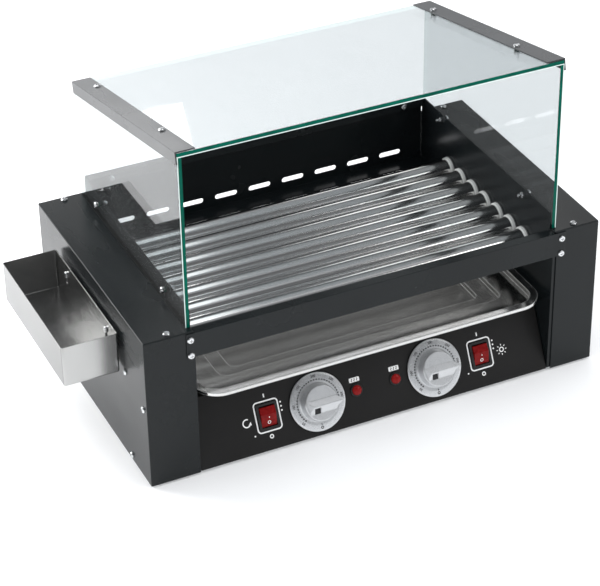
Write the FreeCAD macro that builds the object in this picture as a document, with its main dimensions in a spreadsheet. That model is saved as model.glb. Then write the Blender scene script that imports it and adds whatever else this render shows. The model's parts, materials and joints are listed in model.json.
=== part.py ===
import FreeCAD, Part
import math
import os
import Sketcher

# Hot dog roller grill: seven heated rollers between two cabinets, a glass hood over them, a drip tray
# and a sloped control panel below, and a condiment box hung on the left side.
# Frame: +Z up, front towards -Y, millimetres. The sub-parts are modelled from the table up; when they
# are written they are lowered so that the origin is in the middle of the base pan's underside.

DRIVING_SIZES = {
    # body
    "body_width": 580,
    "body_depth": 336,
    "body_base": 3,
    "body_top": 198.5,
    "plate": 1.2,
    "bend_radius": 1.5,
    "left_front_edge": 229,
    "right_front_edge": 233.5,
    "wall_face": 229.2,
    "wall_top": 219.5,
    "back_top": 221,
    "fit_gap": 0.3,
    # hood
    "glass_thick": 5,
    "glass_front": 159,
    "glass_back": 164,
    "hood_front_top": 419,
    "hood_back_top": 351,
    "bar_thick": 1.5,
    "bar_flange": 23.4,
    "bar_drop": 14.2,
    "bar_screw_inset": 17,
    "pane_screw_level": 211,
    "pane_screw_front": 94,
    "pane_screw_back": 112,
    # rollers
    "roller_count": 7,
    "roller_pitch": 31.1,
    "roller_front": 99.7,
    "roller_level": 153.5,
    "roller_dia": 25.4,
    "roller_bore": 22.4,
    "journal_dia": 18,
    "journal_bore": 11,
    "tube_half": 240,
    "bush_dia": 29,
    "bush_proud": 5,
    "washer_dia": 30.8,
    "running_gap": 0.05,
    "element_dia": 8,
    "element_half": 274,
    "bracket_at": 266,
    # drive
    "chain_pitch": 6.35,
    "sprocket_teeth": 13,
    "motor_teeth": 10,
    "sprocket_at": 250,
    "tooth_width": 2.8,
    "motor_drop": 78,
    # panel and tray
    "panel_rise": 75.1,
    "panel_run": 37.3,
    "panel_foot": 4.4,
    "panel_width": 456,
    "controls_middle": 4.4,
    "knob_spread": 77.1,
    "lamp_spread": 25.7,
    "switch_spread": 140.4,
    "knob_dia": 70.5,
    "tray_width": 447,
    "tray_depth": 300,
    "tray_front": 170,
    "tray_rim": 105.4,
    "tray_corner": 32,
    "tray_flange": 9,
    "tray_step": 6.5,
    # condiment box
    "box_width": 67,
    "box_length": 198.6,
    "box_height": 52.5,
    "box_top": 171,
    "box_gap": 3.1,
    "box_middle": 2.7,
    "stud_spread": 64,
    # front rail
    "rail_bottom": 165,
    "rail_top": 196.5,
    "rail_left": 239.3,
    "rail_right": 244,
    "rail_flange": 11,
    # fasteners
    "screw_dia": 4,
    "screw_hole": 4.3,
    "head_dia": 8,
    "head_tall": 2.5,
}

doc = FreeCAD.newDocument("hot_dog_roller_grill")
sheet = doc.addObject("Spreadsheet::Sheet", "sizes")
for row, (alias, number) in enumerate(DRIVING_SIZES.items(), start=1):
    sheet.set(f"A{row}", alias)
    sheet.set(f"B{row}", str(number))
    sheet.setAlias(f"B{row}", alias)
doc.recompute()


class Size:
    """A length: its value now, and the formula on the sheet's cells that a property is bound to."""

    def __init__(self, value, formula):
        self.value = value
        self.formula = formula

    def __float__(self):
        return float(self.value)

    def __add__(self, other):
        other = as_size(other)
        return Size(self.value + other.value, f"({self.formula} + {other.formula})")

    def __radd__(self, other):
        return as_size(other) + self

    def __sub__(self, other):
        other = as_size(other)
        return Size(self.value - other.value, f"({self.formula} - {other.formula})")

    def __rsub__(self, other):
        return as_size(other) - self

    def __mul__(self, other):
        other = as_size(other)
        return Size(self.value * other.value, f"({self.formula} * {other.formula})")

    def __rmul__(self, other):
        return as_size(other) * self

    def __truediv__(self, other):
        other = as_size(other)
        return Size(self.value / other.value, f"({self.formula} / {other.formula})")

    def __neg__(self):
        return Size(-self.value, f"(0 - {self.formula})")


def as_size(number):
    """A plain number as a Size with a fixed formula."""
    return number if isinstance(number, Size) else Size(float(number), f"({float(number)})")


def root(length):
    """The square root of a Size."""
    return Size(math.sqrt(length.value), f"sqrt({length.formula})")


def cell(alias):
    """A driving size, read from the sheet."""
    return Size(float(sheet.get(alias)), f"sizes.{alias}")


def bind(thing, path, length):
    """Bind one property of a document object to the formula of a Size."""
    thing.setExpression(path, as_size(length).formula)


# ---- sizes used throughout ----
plate = cell("plate")
gap = cell("fit_gap")
half_width = cell("body_width") / 2
half_depth = cell("body_depth") / 2
body_base = cell("body_base")
body_top = cell("body_top")
wall_face = cell("wall_face")
wall_outer = wall_face + plate
wall_top = cell("wall_top")
glass = cell("glass_thick")
pane_inner = wall_outer + gap
pane_outer = pane_inner + glass
roller_radius = cell("roller_dia") / 2
roller_level = cell("roller_level")
roller_front = -cell("roller_front")
roller_pitch = cell("roller_pitch")
roller_count = int(float(cell("roller_count")))
roller_places = [roller_front + roller_pitch * index for index in range(roller_count)]
roller_middle = roller_places[roller_count // 2]
screw_hole = cell("screw_hole") / 2
LEFT, RIGHT = -1, 1
AXIS_TURN = {"x": ((0, 1, 0), 90), "y": ((1, 0, 0), -90), "z": ((0, 0, 1), 0)}


# ---- ways of making shapes ----
def new_body(name):
    return doc.addObject("PartDesign::Body", name)


def new_sketch(body, plane, offset=0):
    """A sketch on one of the body's own origin planes, moved along the plane's normal."""
    sketch = body.newObject("Sketcher::SketchObject", body.Name + "_sketch")
    origin_plane = [item for item in body.Origin.OriginFeatures if item.Role == plane][0]
    sketch.AttachmentSupport = [(origin_plane, "")]
    sketch.MapMode = "FlatFace"
    sketch.AttachmentOffset = FreeCAD.Placement(FreeCAD.Vector(0, 0, float(offset)), FreeCAD.Rotation())
    bind(sketch, "AttachmentOffset.Base.z", offset)
    return sketch


def hold(sketch, kind, *rest):
    """Add a constraint; the last argument is its Size, bound to the sheet."""
    *places, length = rest
    index = sketch.addConstraint(Sketcher.Constraint(kind, *places, float(length)))
    if isinstance(length, Size):
        bind(sketch, f"Constraints[{index}]", length)


def hold_point(sketch, line, end, point):
    """Fix one end of a line, or a circle's centre, at a place measured from the sketch's origin."""
    hold(sketch, "DistanceX", -1, 1, line, end, point[0])
    hold(sketch, "DistanceY", -1, 1, line, end, point[1])


def vector(point):
    return FreeCAD.Vector(float(point[0]), float(point[1]), 0)


def draw_polygon(sketch, points):
    """A closed outline through the points, every corner fixed."""
    first = sketch.GeometryCount
    count = len(points)
    for index in range(count):
        start, end = points[index], points[(index + 1) % count]
        sketch.addGeometry(Part.LineSegment(vector(start), vector(end)))
    for index in range(count):
        sketch.addConstraint(
            Sketcher.Constraint("Coincident", first + index, 2, first + (index + 1) % count, 1)
        )
    for index in range(count):
        hold_point(sketch, first + index, 1, points[index])


def draw_rectangle(sketch, low, high):
    draw_polygon(sketch, [low, (high[0], low[1]), high, (low[0], high[1])])


def draw_circle(sketch, centre, radius):
    index = sketch.addGeometry(Part.Circle(vector(centre), FreeCAD.Vector(0, 0, 1), float(radius)))
    hold_point(sketch, index, 3, centre)
    hold(sketch, "Radius", index, radius)


def draw_rounded(sketch, low, high, radius):
    """A rectangle with round corners: four arcs on fixed centres, joined by four tangent lines."""
    first = sketch.GeometryCount
    centres = [
        (high[0] - radius, high[1] - radius),
        (low[0] + radius, high[1] - radius),
        (low[0] + radius, low[1] + radius),
        (high[0] - radius, low[1] + radius),
    ]
    size = float(radius)
    for quarter, centre in enumerate(centres):
        circle = Part.Circle(vector(centre), FreeCAD.Vector(0, 0, 1), size)
        sketch.addGeometry(Part.ArcOfCircle(circle, quarter * math.pi / 2, (quarter + 1) * math.pi / 2))
    for quarter in range(4):
        turn = (quarter + 1) * math.pi / 2
        reach = FreeCAD.Vector(size * math.cos(turn), size * math.sin(turn), 0)
        following = centres[(quarter + 1) % 4]
        sketch.addGeometry(Part.LineSegment(vector(centres[quarter]) + reach, vector(following) + reach))
    for quarter in range(4):
        line = first + 4 + quarter
        sketch.addConstraint(Sketcher.Constraint("Tangent", first + quarter, 2, line, 1))
        sketch.addConstraint(Sketcher.Constraint("Tangent", line, 2, first + (quarter + 1) % 4, 1))
    for quarter, centre in enumerate(centres[:3]):
        hold_point(sketch, first + quarter, 3, centre)
    hold(sketch, "Radius", first, radius)


def pad(body, sketch, length, back=False):
    """Grow a sketch into solid along its plane's normal, or against it."""
    feature = body.newObject("PartDesign::Pad", body.Name + "_pad")
    feature.Profile = sketch
    feature.Reversed = back
    feature.Length = float(length)
    bind(feature, "Length", length)
    body.Tip = feature
    return feature


def pocket(body, sketch, length, forward=False):
    """Cut a sketch out of the solid against its plane's normal, or along it."""
    feature = body.newObject("PartDesign::Pocket", body.Name + "_pocket")
    feature.Profile = sketch
    feature.Reversed = forward
    feature.Length = float(length)
    bind(feature, "Length", length)
    body.Tip = feature
    return feature


def revolve(body, sketch, axis):
    feature = body.newObject("PartDesign::Revolution", body.Name + "_turned")
    feature.Profile = sketch
    feature.ReferenceAxis = (sketch, [axis])
    feature.Angle = 360
    body.Tip = feature
    return feature


def repeat_in_line(body, feature, axis, spacing, count):
    """Repeat a feature along one of the body's axes."""
    pattern = body.newObject("PartDesign::LinearPattern", body.Name + "_row")
    pattern.Originals = [feature]
    direction = [item for item in body.Origin.OriginFeatures if item.Role == axis][0]
    pattern.Direction = (direction, [""])
    pattern.Mode = "Extent"
    bind(pattern, "Length", spacing * (count - 1))
    pattern.Occurrences = count
    body.Tip = pattern


def repeat_round(body, feature, count):
    """Repeat a feature round the body's Z axis."""
    pattern = body.newObject("PartDesign::PolarPattern", body.Name + "_ring")
    pattern.Originals = [feature]
    direction = [item for item in body.Origin.OriginFeatures if item.Role == "Z_Axis"][0]
    pattern.Axis = (direction, [""])
    pattern.Angle = 360
    pattern.Occurrences = count
    body.Tip = pattern


def round_edges(body, chosen, radius):
    """Fillet the edges of the body's last feature that the test picks."""
    doc.recompute()
    base = body.Tip
    names = [f"Edge{n}" for n, edge in enumerate(base.Shape.Edges, start=1) if chosen(edge)]
    fillet = body.newObject("PartDesign::Fillet", body.Name + "_round")
    fillet.Base = (base, names)
    fillet.Radius = float(radius)
    bind(fillet, "Radius", radius)
    body.Tip = fillet


def put(thing, place, rotation=None):
    """Place an object, each coordinate bound to the sheet."""
    turn = rotation if rotation else FreeCAD.Rotation()
    thing.Placement = FreeCAD.Placement(FreeCAD.Vector(*[float(value) for value in place]), turn)
    for letter, value in zip("xyz", place):
        bind(thing, f"Placement.Base.{letter}", value)


def block(name, low, high):
    """A Part box between two corners."""
    box = doc.addObject("Part::Box", name)
    for side, start, end in zip(("Length", "Width", "Height"), low, high):
        setattr(box, side, float(end) - float(start))
        bind(box, side, as_size(end) - start)
    put(box, low)
    return box


def rod(name, axis, start, radius, length):
    """A Part cylinder that grows from a point along the x, y or z axis."""
    cylinder = doc.addObject("Part::Cylinder", name)
    cylinder.Radius = float(radius)
    cylinder.Height = float(length)
    bind(cylinder, "Radius", radius)
    bind(cylinder, "Height", length)
    direction, angle = AXIS_TURN[axis]
    put(cylinder, start, FreeCAD.Rotation(FreeCAD.Vector(*direction), angle))
    return cylinder


def join(name, pieces):
    fused = doc.addObject("Part::MultiFuse", name)
    fused.Shapes = pieces
    fused.Refine = True
    return fused


def remove(name, base, tools):
    cut = doc.addObject("Part::Cut", name)
    cut.Base = base
    cut.Tool = tools[0] if len(tools) == 1 else join(name + "_tools", tools)
    cut.Refine = True
    return cut


def copies(name, template, places):
    """A group of separate, identical solids: the template's shape at each placement."""
    doc.recompute()
    shape = template.Shape.copy()
    shape.Placement = FreeCAD.Placement()
    solids = []
    for place in places:
        solid = shape.copy()
        solid.Placement = place
        solids.append(solid)
    group = doc.addObject("Part::Feature", name)
    group.Shape = Part.makeCompound(solids)
    return finish(group, name)


def pair(name, things):
    """Separate pieces kept together as one compound."""
    compound = doc.addObject("Part::Compound", name)
    compound.Links = things
    return compound


PARTS = []


def finish(thing, label):
    """Name a finished sub-part and put it on the list of files to write."""
    thing.Label = label
    PARTS.append(thing)
    return thing


def turned_to(direction):
    """The rotation that points a template's Z axis along a direction."""
    return FreeCAD.Rotation(FreeCAD.Vector(0, 0, 1), FreeCAD.Vector(*direction))


def at(x, y, z, direction=(0, 0, 1)):
    """A placement for a template whose Z axis points along the direction."""
    return FreeCAD.Placement(FreeCAD.Vector(float(x), float(y), float(z)), turned_to(direction))


# ---- the two leaning frames: the panel's face and the glass roof ----
panel_foot = cell("panel_foot")
panel_rise = cell("panel_rise")
panel_run = cell("panel_run")
panel_front = -half_depth + 0.2
panel_slope = root(panel_rise * panel_rise + panel_run * panel_run)
panel_lean = math.degrees(math.atan2(float(panel_run), float(panel_rise)))
PANEL_TURN = FreeCAD.Rotation(FreeCAD.Vector(1, 0, 0), 90 - panel_lean)
panel_middle_y = panel_front + panel_run * 0.48
panel_middle_z = panel_foot + panel_rise * 0.48

glass_front = -cell("glass_front")
glass_back = cell("glass_back")
roof_run = glass_back - glass_front
roof_fall = cell("hood_front_top") - cell("hood_back_top")
roof_length = root(roof_run * roof_run + roof_fall * roof_fall)
roof_angle = math.degrees(math.atan2(float(roof_fall), float(roof_run)))
ROOF_TURN = FreeCAD.Rotation(FreeCAD.Vector(1, 0, 0), -roof_angle)
ROOF_MIDDLE = (
    as_size(0),
    (glass_front + glass_back) / 2,
    (cell("hood_front_top") + cell("hood_back_top")) / 2,
)


def control_place(spread, side):
    """Where a control's middle is across the panel: the controls sit about their own middle line."""
    return cell("controls_middle") + cell(spread) * side


def on_panel(thing, across):
    """Put a sub-part modelled on the panel's face (X across, Y up the slope, Z outward)."""
    put(thing, (across, panel_middle_y, panel_middle_z), PANEL_TURN)


def on_roof(thing):
    """Put a sub-part modelled on the glass roof (X across, Y to the back, Z outward)."""
    put(thing, ROOF_MIDDLE, ROOF_TURN)


def roof_point(x, y, z=0):
    """A point of the roof's frame in the grill's frame."""
    middle = FreeCAD.Vector(*[float(value) for value in ROOF_MIDDLE])
    return middle + ROOF_TURN.multVec(FreeCAD.Vector(float(x), float(y), float(z)))


# ---- fastener templates, head at Z = 0 and above, shank below ----
def pan_screw(name, shank):
    """A pan-head screw with a cross recess."""
    body = new_body(name)
    sketch = new_sketch(body, "XZ_Plane")
    head = cell("head_dia") / 2
    tall = cell("head_tall")
    shaft = cell("screw_dia") / 2
    draw_polygon(
        sketch,
        [(0, -as_size(shank)), (shaft, -as_size(shank)), (shaft, 0), (head, 0), (head, tall * 0.45),
         (head * 0.8, tall * 0.85), (head * 0.4, tall), (0, tall)],
    )
    revolve(body, sketch, "V_Axis")
    for long_side, short_side in ((2.2, 0.45), (0.45, 2.2)):
        recess = new_sketch(body, "XY_Plane", tall)
        draw_rectangle(recess, (-long_side, -short_side), (long_side, short_side))
        pocket(body, recess, tall * 0.5)
    return body


def hex_nut(name):
    """A nut that fits the screws, resting on Z = 0."""
    body = new_body(name)
    sketch = new_sketch(body, "XY_Plane")
    across = cell("head_dia") / 2
    corners = [
        (across * math.cos(math.radians(60 * n)), across * math.sin(math.radians(60 * n))) for n in range(6)
    ]
    draw_polygon(sketch, corners)
    draw_circle(sketch, (0, 0), screw_hole)
    pad(body, sketch, cell("head_tall"))
    return body


short_screw = pan_screw("short_screw_template", 7)
long_screw = pan_screw("long_screw_template", 14)
nut = hex_nut("nut_template")


# ---- where the case is screwed and bored ----
COVER_SCREW_ACROSS = as_size(259)
COVER_SCREWS_ALONG = (-half_depth + 7.5, half_depth - 7.5)
RAIL_SCREW_LEVELS = (as_size(168), as_size(188.5))
PAN_SCREW = (-half_depth + 57, body_base + 7)
TAB_SCREWS = ((as_size(-158), as_size(105)), (as_size(-106), as_size(124)))
SIDE_SCREWS = (PAN_SCREW,) + TAB_SCREWS
STUD_LEVEL = as_size(156)
CORD_ACROSS = as_size(252)
CORD_LEVEL = as_size(34)
CORD_HOLE = as_size(7.2)


# ---- body: pan, feet, walls, covers, back, rail, shelf ----
FOOT_RADIUS = 12
FOOT_INSET = 30
SEAT_DEPTH = 0.3


def foot_places():
    """Centres of the four feet, near the pan's corners."""
    side = half_width - FOOT_INSET
    front = half_depth - FOOT_INSET
    return [(x, y) for x in (-side, side) for y in (-front, front)]


def make_base_pan():
    """Bottom plate with upturned side flanges, a row of air slots and a shallow round seat per foot."""
    body = new_body("base_pan")
    side = half_width - plate - gap
    back = half_depth - plate - gap
    front = -(back - 1)
    flange = 12
    outline = new_sketch(body, "XY_Plane", body_base)
    draw_rectangle(outline, (-side, front), (side, back))
    pad(body, outline, flange)
    inside = new_sketch(body, "XY_Plane", body_base + flange)
    draw_rectangle(inside, (-side + plate, front - 1), (side - plate, back + 1))
    pocket(body, inside, flange - plate)
    slot_count = 9
    slot_spacing = 44
    slots = new_sketch(body, "XY_Plane", body_base + plate)
    first = -slot_spacing * (slot_count - 1) / 2
    draw_rounded(slots, (first - 3, as_size(20)), (first + 3, as_size(100)), as_size(2.9))
    repeat_in_line(body, pocket(body, slots, plate), "X_Axis", as_size(slot_spacing), slot_count)
    holes = new_sketch(body, "YZ_Plane", -half_width)
    draw_circle(holes, PAN_SCREW, screw_hole)
    pocket(body, holes, half_width * 2, forward=True)
    seats = new_sketch(body, "XY_Plane", body_base)
    for place in foot_places():
        draw_circle(seats, place, as_size(FOOT_RADIUS + 0.5))
    pocket(body, seats, SEAT_DEPTH, forward=True)
    finish(body, "base_pan")


def make_feet():
    """Four rubber feet, each reaching up into its seat in the pan."""
    body = new_body("foot_template")
    sketch = new_sketch(body, "XZ_Plane")
    top = body_base + SEAT_DEPTH
    draw_polygon(sketch, [(0, 0), (FOOT_RADIUS - 1.5, 0), (FOOT_RADIUS, 1), (FOOT_RADIUS, top), (0, top)])
    revolve(body, sketch, "V_Axis")
    copies("rubber_feet", body, [at(x, y, 0) for x, y in foot_places()])


def make_wall(side, name):
    """Inner wall of a cabinet: roller holes, raised lip for the side glass, flanges towards the outside."""
    body = new_body(name)
    inner = wall_face * side
    front = -half_depth + plate + gap
    back = half_depth - plate - gap
    foot = body_base + plate + 0.1
    shoulder = body_top - plate - gap
    lip_front = glass_front + 2
    sheet = new_sketch(body, "YZ_Plane", inner)
    draw_polygon(
        sketch=sheet,
        points=[(front, foot), (back, foot), (back, shoulder), (glass_back, shoulder), (glass_back, wall_top),
                (lip_front, wall_top), (lip_front, shoulder), (front, shoulder)],
    )
    pad(body, sheet, plate, back=side == LEFT)
    flange = new_sketch(body, "XY_Plane", foot)
    reach = 40
    ends = sorted([wall_outer * side, (wall_outer + reach) * side], key=float)
    for low, high in ((front, front + plate), (back - plate, back)):
        draw_rectangle(flange, (ends[0], low), (ends[1], high))
    pad(body, flange, shoulder - foot)
    tabs = new_sketch(body, "XY_Plane", shoulder - plate)
    tab_depth = 16
    tab_ends = sorted([(wall_outer + reach) * side, (wall_outer + reach - 22) * side], key=float)
    for low, high in ((front, front + tab_depth), (back - tab_depth, back)):
        draw_rectangle(tabs, (tab_ends[0], low), (tab_ends[1], high))
    pad(body, tabs, plate)
    side_tab = new_sketch(body, "XY_Plane", as_size(97))
    root_of_tab = wall_outer + reach - 1
    tab_face = half_width - plate - gap
    tab_outline = [(root_of_tab, front), (tab_face, front), (tab_face, as_size(-98)),
                   (tab_face - plate, as_size(-98)), (tab_face - plate, front + plate),
                   (root_of_tab, front + plate)]
    draw_polygon(side_tab, [(across * side, along) for across, along in tab_outline])
    pad(body, side_tab, as_size(35))
    bottom = new_sketch(body, "XY_Plane", foot)
    bottom_ends = sorted([wall_outer * side, (wall_outer + 14) * side], key=float)
    draw_rectangle(bottom, (bottom_ends[0], front), (bottom_ends[1], back))
    pad(body, bottom, plate)
    roller_hole = new_sketch(body, "YZ_Plane", inner)
    draw_circle(roller_hole, (roller_front, roller_level), cell("bush_dia") / 2 + 0.1)
    holes = pocket(body, roller_hole, plate + 1, forward=side == RIGHT)
    repeat_in_line(body, holes, "Y_Axis", roller_pitch, roller_count)
    pane_holes = new_sketch(body, "YZ_Plane", inner)
    for along in (-cell("pane_screw_front"), cell("pane_screw_back")):
        draw_circle(pane_holes, (along, cell("pane_screw_level")), screw_hole)
    pocket(body, pane_holes, plate + 1, forward=side == RIGHT)
    tab_holes = new_sketch(body, "XY_Plane", shoulder + 1)
    rail_holes = new_sketch(body, "XZ_Plane", half_depth)
    for along in COVER_SCREWS_ALONG:
        draw_circle(tab_holes, (COVER_SCREW_ACROSS * side, along), screw_hole)
    for level in RAIL_SCREW_LEVELS:
        draw_circle(rail_holes, (rail_screw_across(side), level), screw_hole)
    pocket(body, tab_holes, 4)
    pocket(body, rail_holes, 10)
    side_holes = new_sketch(body, "YZ_Plane", tab_face * side)
    for place in TAB_SCREWS:
        draw_circle(side_holes, place, screw_hole)
    pocket(body, side_holes, plate + 1, forward=side == LEFT)
    if side == RIGHT:
        cut_cord_hole(body)
    finish(body, name)


def cut_cord_hole(body):
    """The hole for the cord gland, through the back only."""
    hole = new_sketch(body, "XZ_Plane", -half_depth + 8)
    draw_circle(hole, (CORD_ACROSS, CORD_LEVEL), CORD_HOLE)
    pocket(body, hole, 10, forward=False)


def rail_screw_across(side):
    """Where the rail's screws stand, as far inside the cabinet's edge on both sides."""
    return -as_size(234.5) if side == LEFT else as_size(238.7)


def make_cover(side, name):
    """Cabinet cover: top, front, back and outer side in one folded sheet, open below and inside."""
    body = new_body(name)
    front_edge = cell("left_front_edge") if side == LEFT else cell("right_front_edge")
    top_edge = pane_inner - gap + 0.1
    widest = min(front_edge, top_edge, key=float)

    def across(near, far):
        return sorted([near * side, far * side], key=float)

    outline = new_sketch(body, "XY_Plane", body_base)
    ends = across(widest, half_width)
    draw_rectangle(outline, (ends[0], -half_depth), (ends[1], half_depth))
    pad(body, outline, body_top - body_base)
    outside = float(half_width)
    top = float(body_top)

    def is_fold(edge):
        box = edge.BoundBox
        upright = abs(box.XMin) > outside - 0.01 and abs(box.XMax) > outside - 0.01 and box.ZLength > 1
        along_top = box.ZMin > top - 0.01 and abs(edge.CenterOfMass.x) > float(widest) + 0.01
        return upright or along_top

    round_edges(body, is_fold, cell("bend_radius"))
    hollow = new_sketch(body, "XY_Plane", body_top - plate)
    ends = across(widest - 1, half_width - plate)
    draw_rectangle(hollow, (ends[0], -half_depth + plate), (ends[1], half_depth - plate))
    pocket(body, hollow, body_top)
    trims = []
    if float(front_edge) < float(top_edge):
        beside_top = across(front_edge - 1, top_edge)
        trims.append((beside_top, (-half_depth + plate, half_depth - plate), body_top + 1))
    else:
        beside_front = across(top_edge - 1, front_edge)
        trims.append((beside_front, (-half_depth - 1, -half_depth + plate), body_top - plate))
        trims.append((beside_front, (half_depth - plate, half_depth + 1), body_top - plate))
    for ends, along, start in trims:
        trim = new_sketch(body, "XY_Plane", start)
        draw_rectangle(trim, (ends[0], along[0]), (ends[1], along[1]))
        pocket(body, trim, body_top if float(front_edge) > float(top_edge) else plate + 1)
    top_holes = new_sketch(body, "XY_Plane", body_top + 1)
    for along in COVER_SCREWS_ALONG:
        draw_circle(top_holes, (COVER_SCREW_ACROSS * side, along), screw_hole)
    pocket(body, top_holes, 5)
    side_holes = new_sketch(body, "YZ_Plane", (half_width + 1) * side)
    for along, level in SIDE_SCREWS:
        draw_circle(side_holes, (along, level), screw_hole)
    if side == LEFT:
        for along in stud_places():
            draw_circle(side_holes, (along, STUD_LEVEL), screw_hole)
    pocket(body, side_holes, 5, forward=side == LEFT)
    front_holes = new_sketch(body, "XZ_Plane", half_depth + 1)
    for level in RAIL_SCREW_LEVELS:
        draw_circle(front_holes, (rail_screw_across(side), level), screw_hole)
    pocket(body, front_holes, 5)
    if side == RIGHT:
        cut_cord_hole(body)
    finish(body, name)


def stud_places():
    middle = cell("box_middle")
    spread = cell("stud_spread")
    return (middle - spread, middle + spread)


def make_back_panel():
    """Back sheet between the cabinets, with air slots and a ledge behind the last roller."""
    body = new_body("back_panel")
    side = wall_face - gap
    back = half_depth - plate - gap
    foot = body_base + plate + 0.1
    ledge_level = 132
    sheet_outline = new_sketch(body, "XZ_Plane", -back)
    draw_rectangle(sheet_outline, (-side, foot), (side, cell("back_top")))
    pad(body, sheet_outline, plate)
    ledge = new_sketch(body, "XY_Plane", as_size(ledge_level))
    draw_rectangle(ledge, (-side, back - plate - 22), (side, back - plate))
    pad(body, ledge, plate)
    slot_count = 9
    slot_spacing = 46
    slots = new_sketch(body, "XZ_Plane", -back + plate + 1)
    first = as_size(-slot_spacing * (slot_count - 1) / 2)
    draw_rounded(slots, (first - 15, as_size(143)), (first + 15, as_size(150)), as_size(3.4))
    repeat_in_line(body, pocket(body, slots, plate + 2), "X_Axis", as_size(slot_spacing), slot_count)
    lamp_holes = new_sketch(body, "XZ_Plane", -back + plate + 1)
    for across in LAMP_SCREWS_ACROSS:
        draw_circle(lamp_holes, (across, LAMP_SCREW_LEVEL), screw_hole)
    pocket(body, lamp_holes, plate + 2)
    finish(body, "back_panel")


LAMP_SCREWS_ACROSS = (-as_size(198.5), as_size(198.5))
LAMP_SCREW_LEVEL = as_size(216)


def make_front_rail():
    """Front beam: face with lapped ends on the cabinets, top flange and bottom return between them."""
    body = new_body("front_rail")
    face_back = -half_depth - 0.1
    face = new_sketch(body, "XZ_Plane", -face_back)
    draw_rectangle(
        face, (-cell("rail_left"), cell("rail_bottom")), (cell("rail_right"), cell("rail_top"))
    )
    pad(body, face, plate)
    side = cell("left_front_edge") - gap - 0.4
    flange = new_sketch(body, "XY_Plane", cell("rail_top") - plate)
    draw_rectangle(flange, (-side, face_back), (side, -half_depth + cell("rail_flange")))
    pad(body, flange, plate)
    bottom = new_sketch(body, "XY_Plane", cell("rail_bottom"))
    draw_rectangle(bottom, (-side, face_back), (side, -half_depth + 8))
    pad(body, bottom, plate)
    holes = new_sketch(body, "XZ_Plane", -face_back + plate + 1)
    for end in (LEFT, RIGHT):
        for level in RAIL_SCREW_LEVELS:
            draw_circle(holes, (rail_screw_across(end), level), screw_hole)
    pocket(body, holes, plate + 2)
    finish(body, "front_rail")


def make_tray_shelf():
    """Shelf under the drip tray, between the walls, with turned-down edges."""
    body = new_body("tray_shelf")
    side = wall_face - gap
    front = panel_front + panel_run + 14
    back = half_depth - plate - gap - plate - gap
    level = panel_foot + panel_rise - plate
    sheet_outline = new_sketch(body, "XY_Plane", level)
    draw_rectangle(sheet_outline, (-side, front), (side, back))
    pad(body, sheet_outline, plate)
    edges = new_sketch(body, "XY_Plane", level)
    for low, high in ((-side, -side + plate), (side - plate, side)):
        draw_rectangle(edges, (low, front), (high, back))
    pad(body, edges, 10, back=True)
    finish(body, "tray_shelf")


# ---- control panel and what it carries ----
def make_control_panel():
    """Sloped sheet with a foot flange and a top flange; round and square openings for the controls."""
    body = new_body("panel_sheet")
    top = panel_foot + panel_rise
    inner_shift = plate * panel_slope / panel_rise
    rate = panel_run / panel_rise

    def inner_at(level):
        return panel_front + inner_shift + rate * (level - panel_foot)

    outline = new_sketch(body, "YZ_Plane", -cell("panel_width") / 2)
    draw_polygon(
        outline,
        [(panel_front, panel_foot), (panel_front + panel_run, top), (panel_front + panel_run + 13, top),
         (panel_front + panel_run + 13, top - plate), (inner_at(top - plate), top - plate),
         (inner_at(panel_foot + plate), panel_foot + plate), (panel_front + 18, panel_foot + plate),
         (panel_front + 18, panel_foot)],
    )
    pad(body, outline, cell("panel_width"))
    openings = []
    for side in (LEFT, RIGHT):
        for kind, radius in (("knob", 5.2), ("lamp", 6.1)):
            hole = doc.addObject("Part::Cylinder", f"{kind}_opening")
            hole.Radius = radius
            hole.Height = 6
            shift = PANEL_TURN.multVec(FreeCAD.Vector(0, 0, -3))
            across = control_place(f"{kind}_spread", side)
            put(hole, (across, panel_middle_y + shift.y, panel_middle_z + shift.z), PANEL_TURN)
            openings.append(hole)
        window = doc.addObject("Part::Box", "switch_opening")
        window.Length = 22.4
        window.Width = 28.4
        window.Height = 6
        shift = PANEL_TURN.multVec(FreeCAD.Vector(0, -14.2, -3))
        left = control_place("switch_spread", side) - 11.2
        put(window, (left, panel_middle_y + shift.y, panel_middle_z + shift.z), PANEL_TURN)
        openings.append(window)
    finish(remove("control_panel_cut", body, openings), "control_panel")


ROCKER_TILT = 10
ROCKER_PIVOT = -1


def make_switch_housing(side):
    """Body of a rocker switch: bezel and box with a well and pivot sockets, terminals behind."""
    housing = new_body("left_switch_housing" if side == LEFT else "right_switch_housing")
    bezel = new_sketch(housing, "XY_Plane", 0.05)
    draw_rounded(bezel, (as_size(-13), as_size(-15.5)), (as_size(13), as_size(15.5)), as_size(1.5))
    pad(housing, bezel, 2)
    box = new_sketch(housing, "XY_Plane", 0.05)
    draw_rectangle(box, (-10.9, -13.9), (10.9, 13.9))
    pad(housing, box, 24, back=True)
    well = new_sketch(housing, "XY_Plane", 2.05)
    draw_rectangle(well, (-9.9, -12.9), (9.9, 12.9))
    pocket(housing, well, 12)
    sockets = new_sketch(housing, "YZ_Plane", -10.6)
    draw_circle(sockets, (0, ROCKER_PIVOT), 1.55)
    pocket(housing, sockets, 21.2, forward=True)
    terminals = new_sketch(housing, "XY_Plane", -23.95)
    for level in (-8, 0, 8):
        draw_rectangle(terminals, (-3.2, level - 0.4), (3.2, level + 0.4))
    pad(housing, terminals, 8, back=True)
    on_panel(housing, control_place("switch_spread", side))
    return housing


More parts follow.
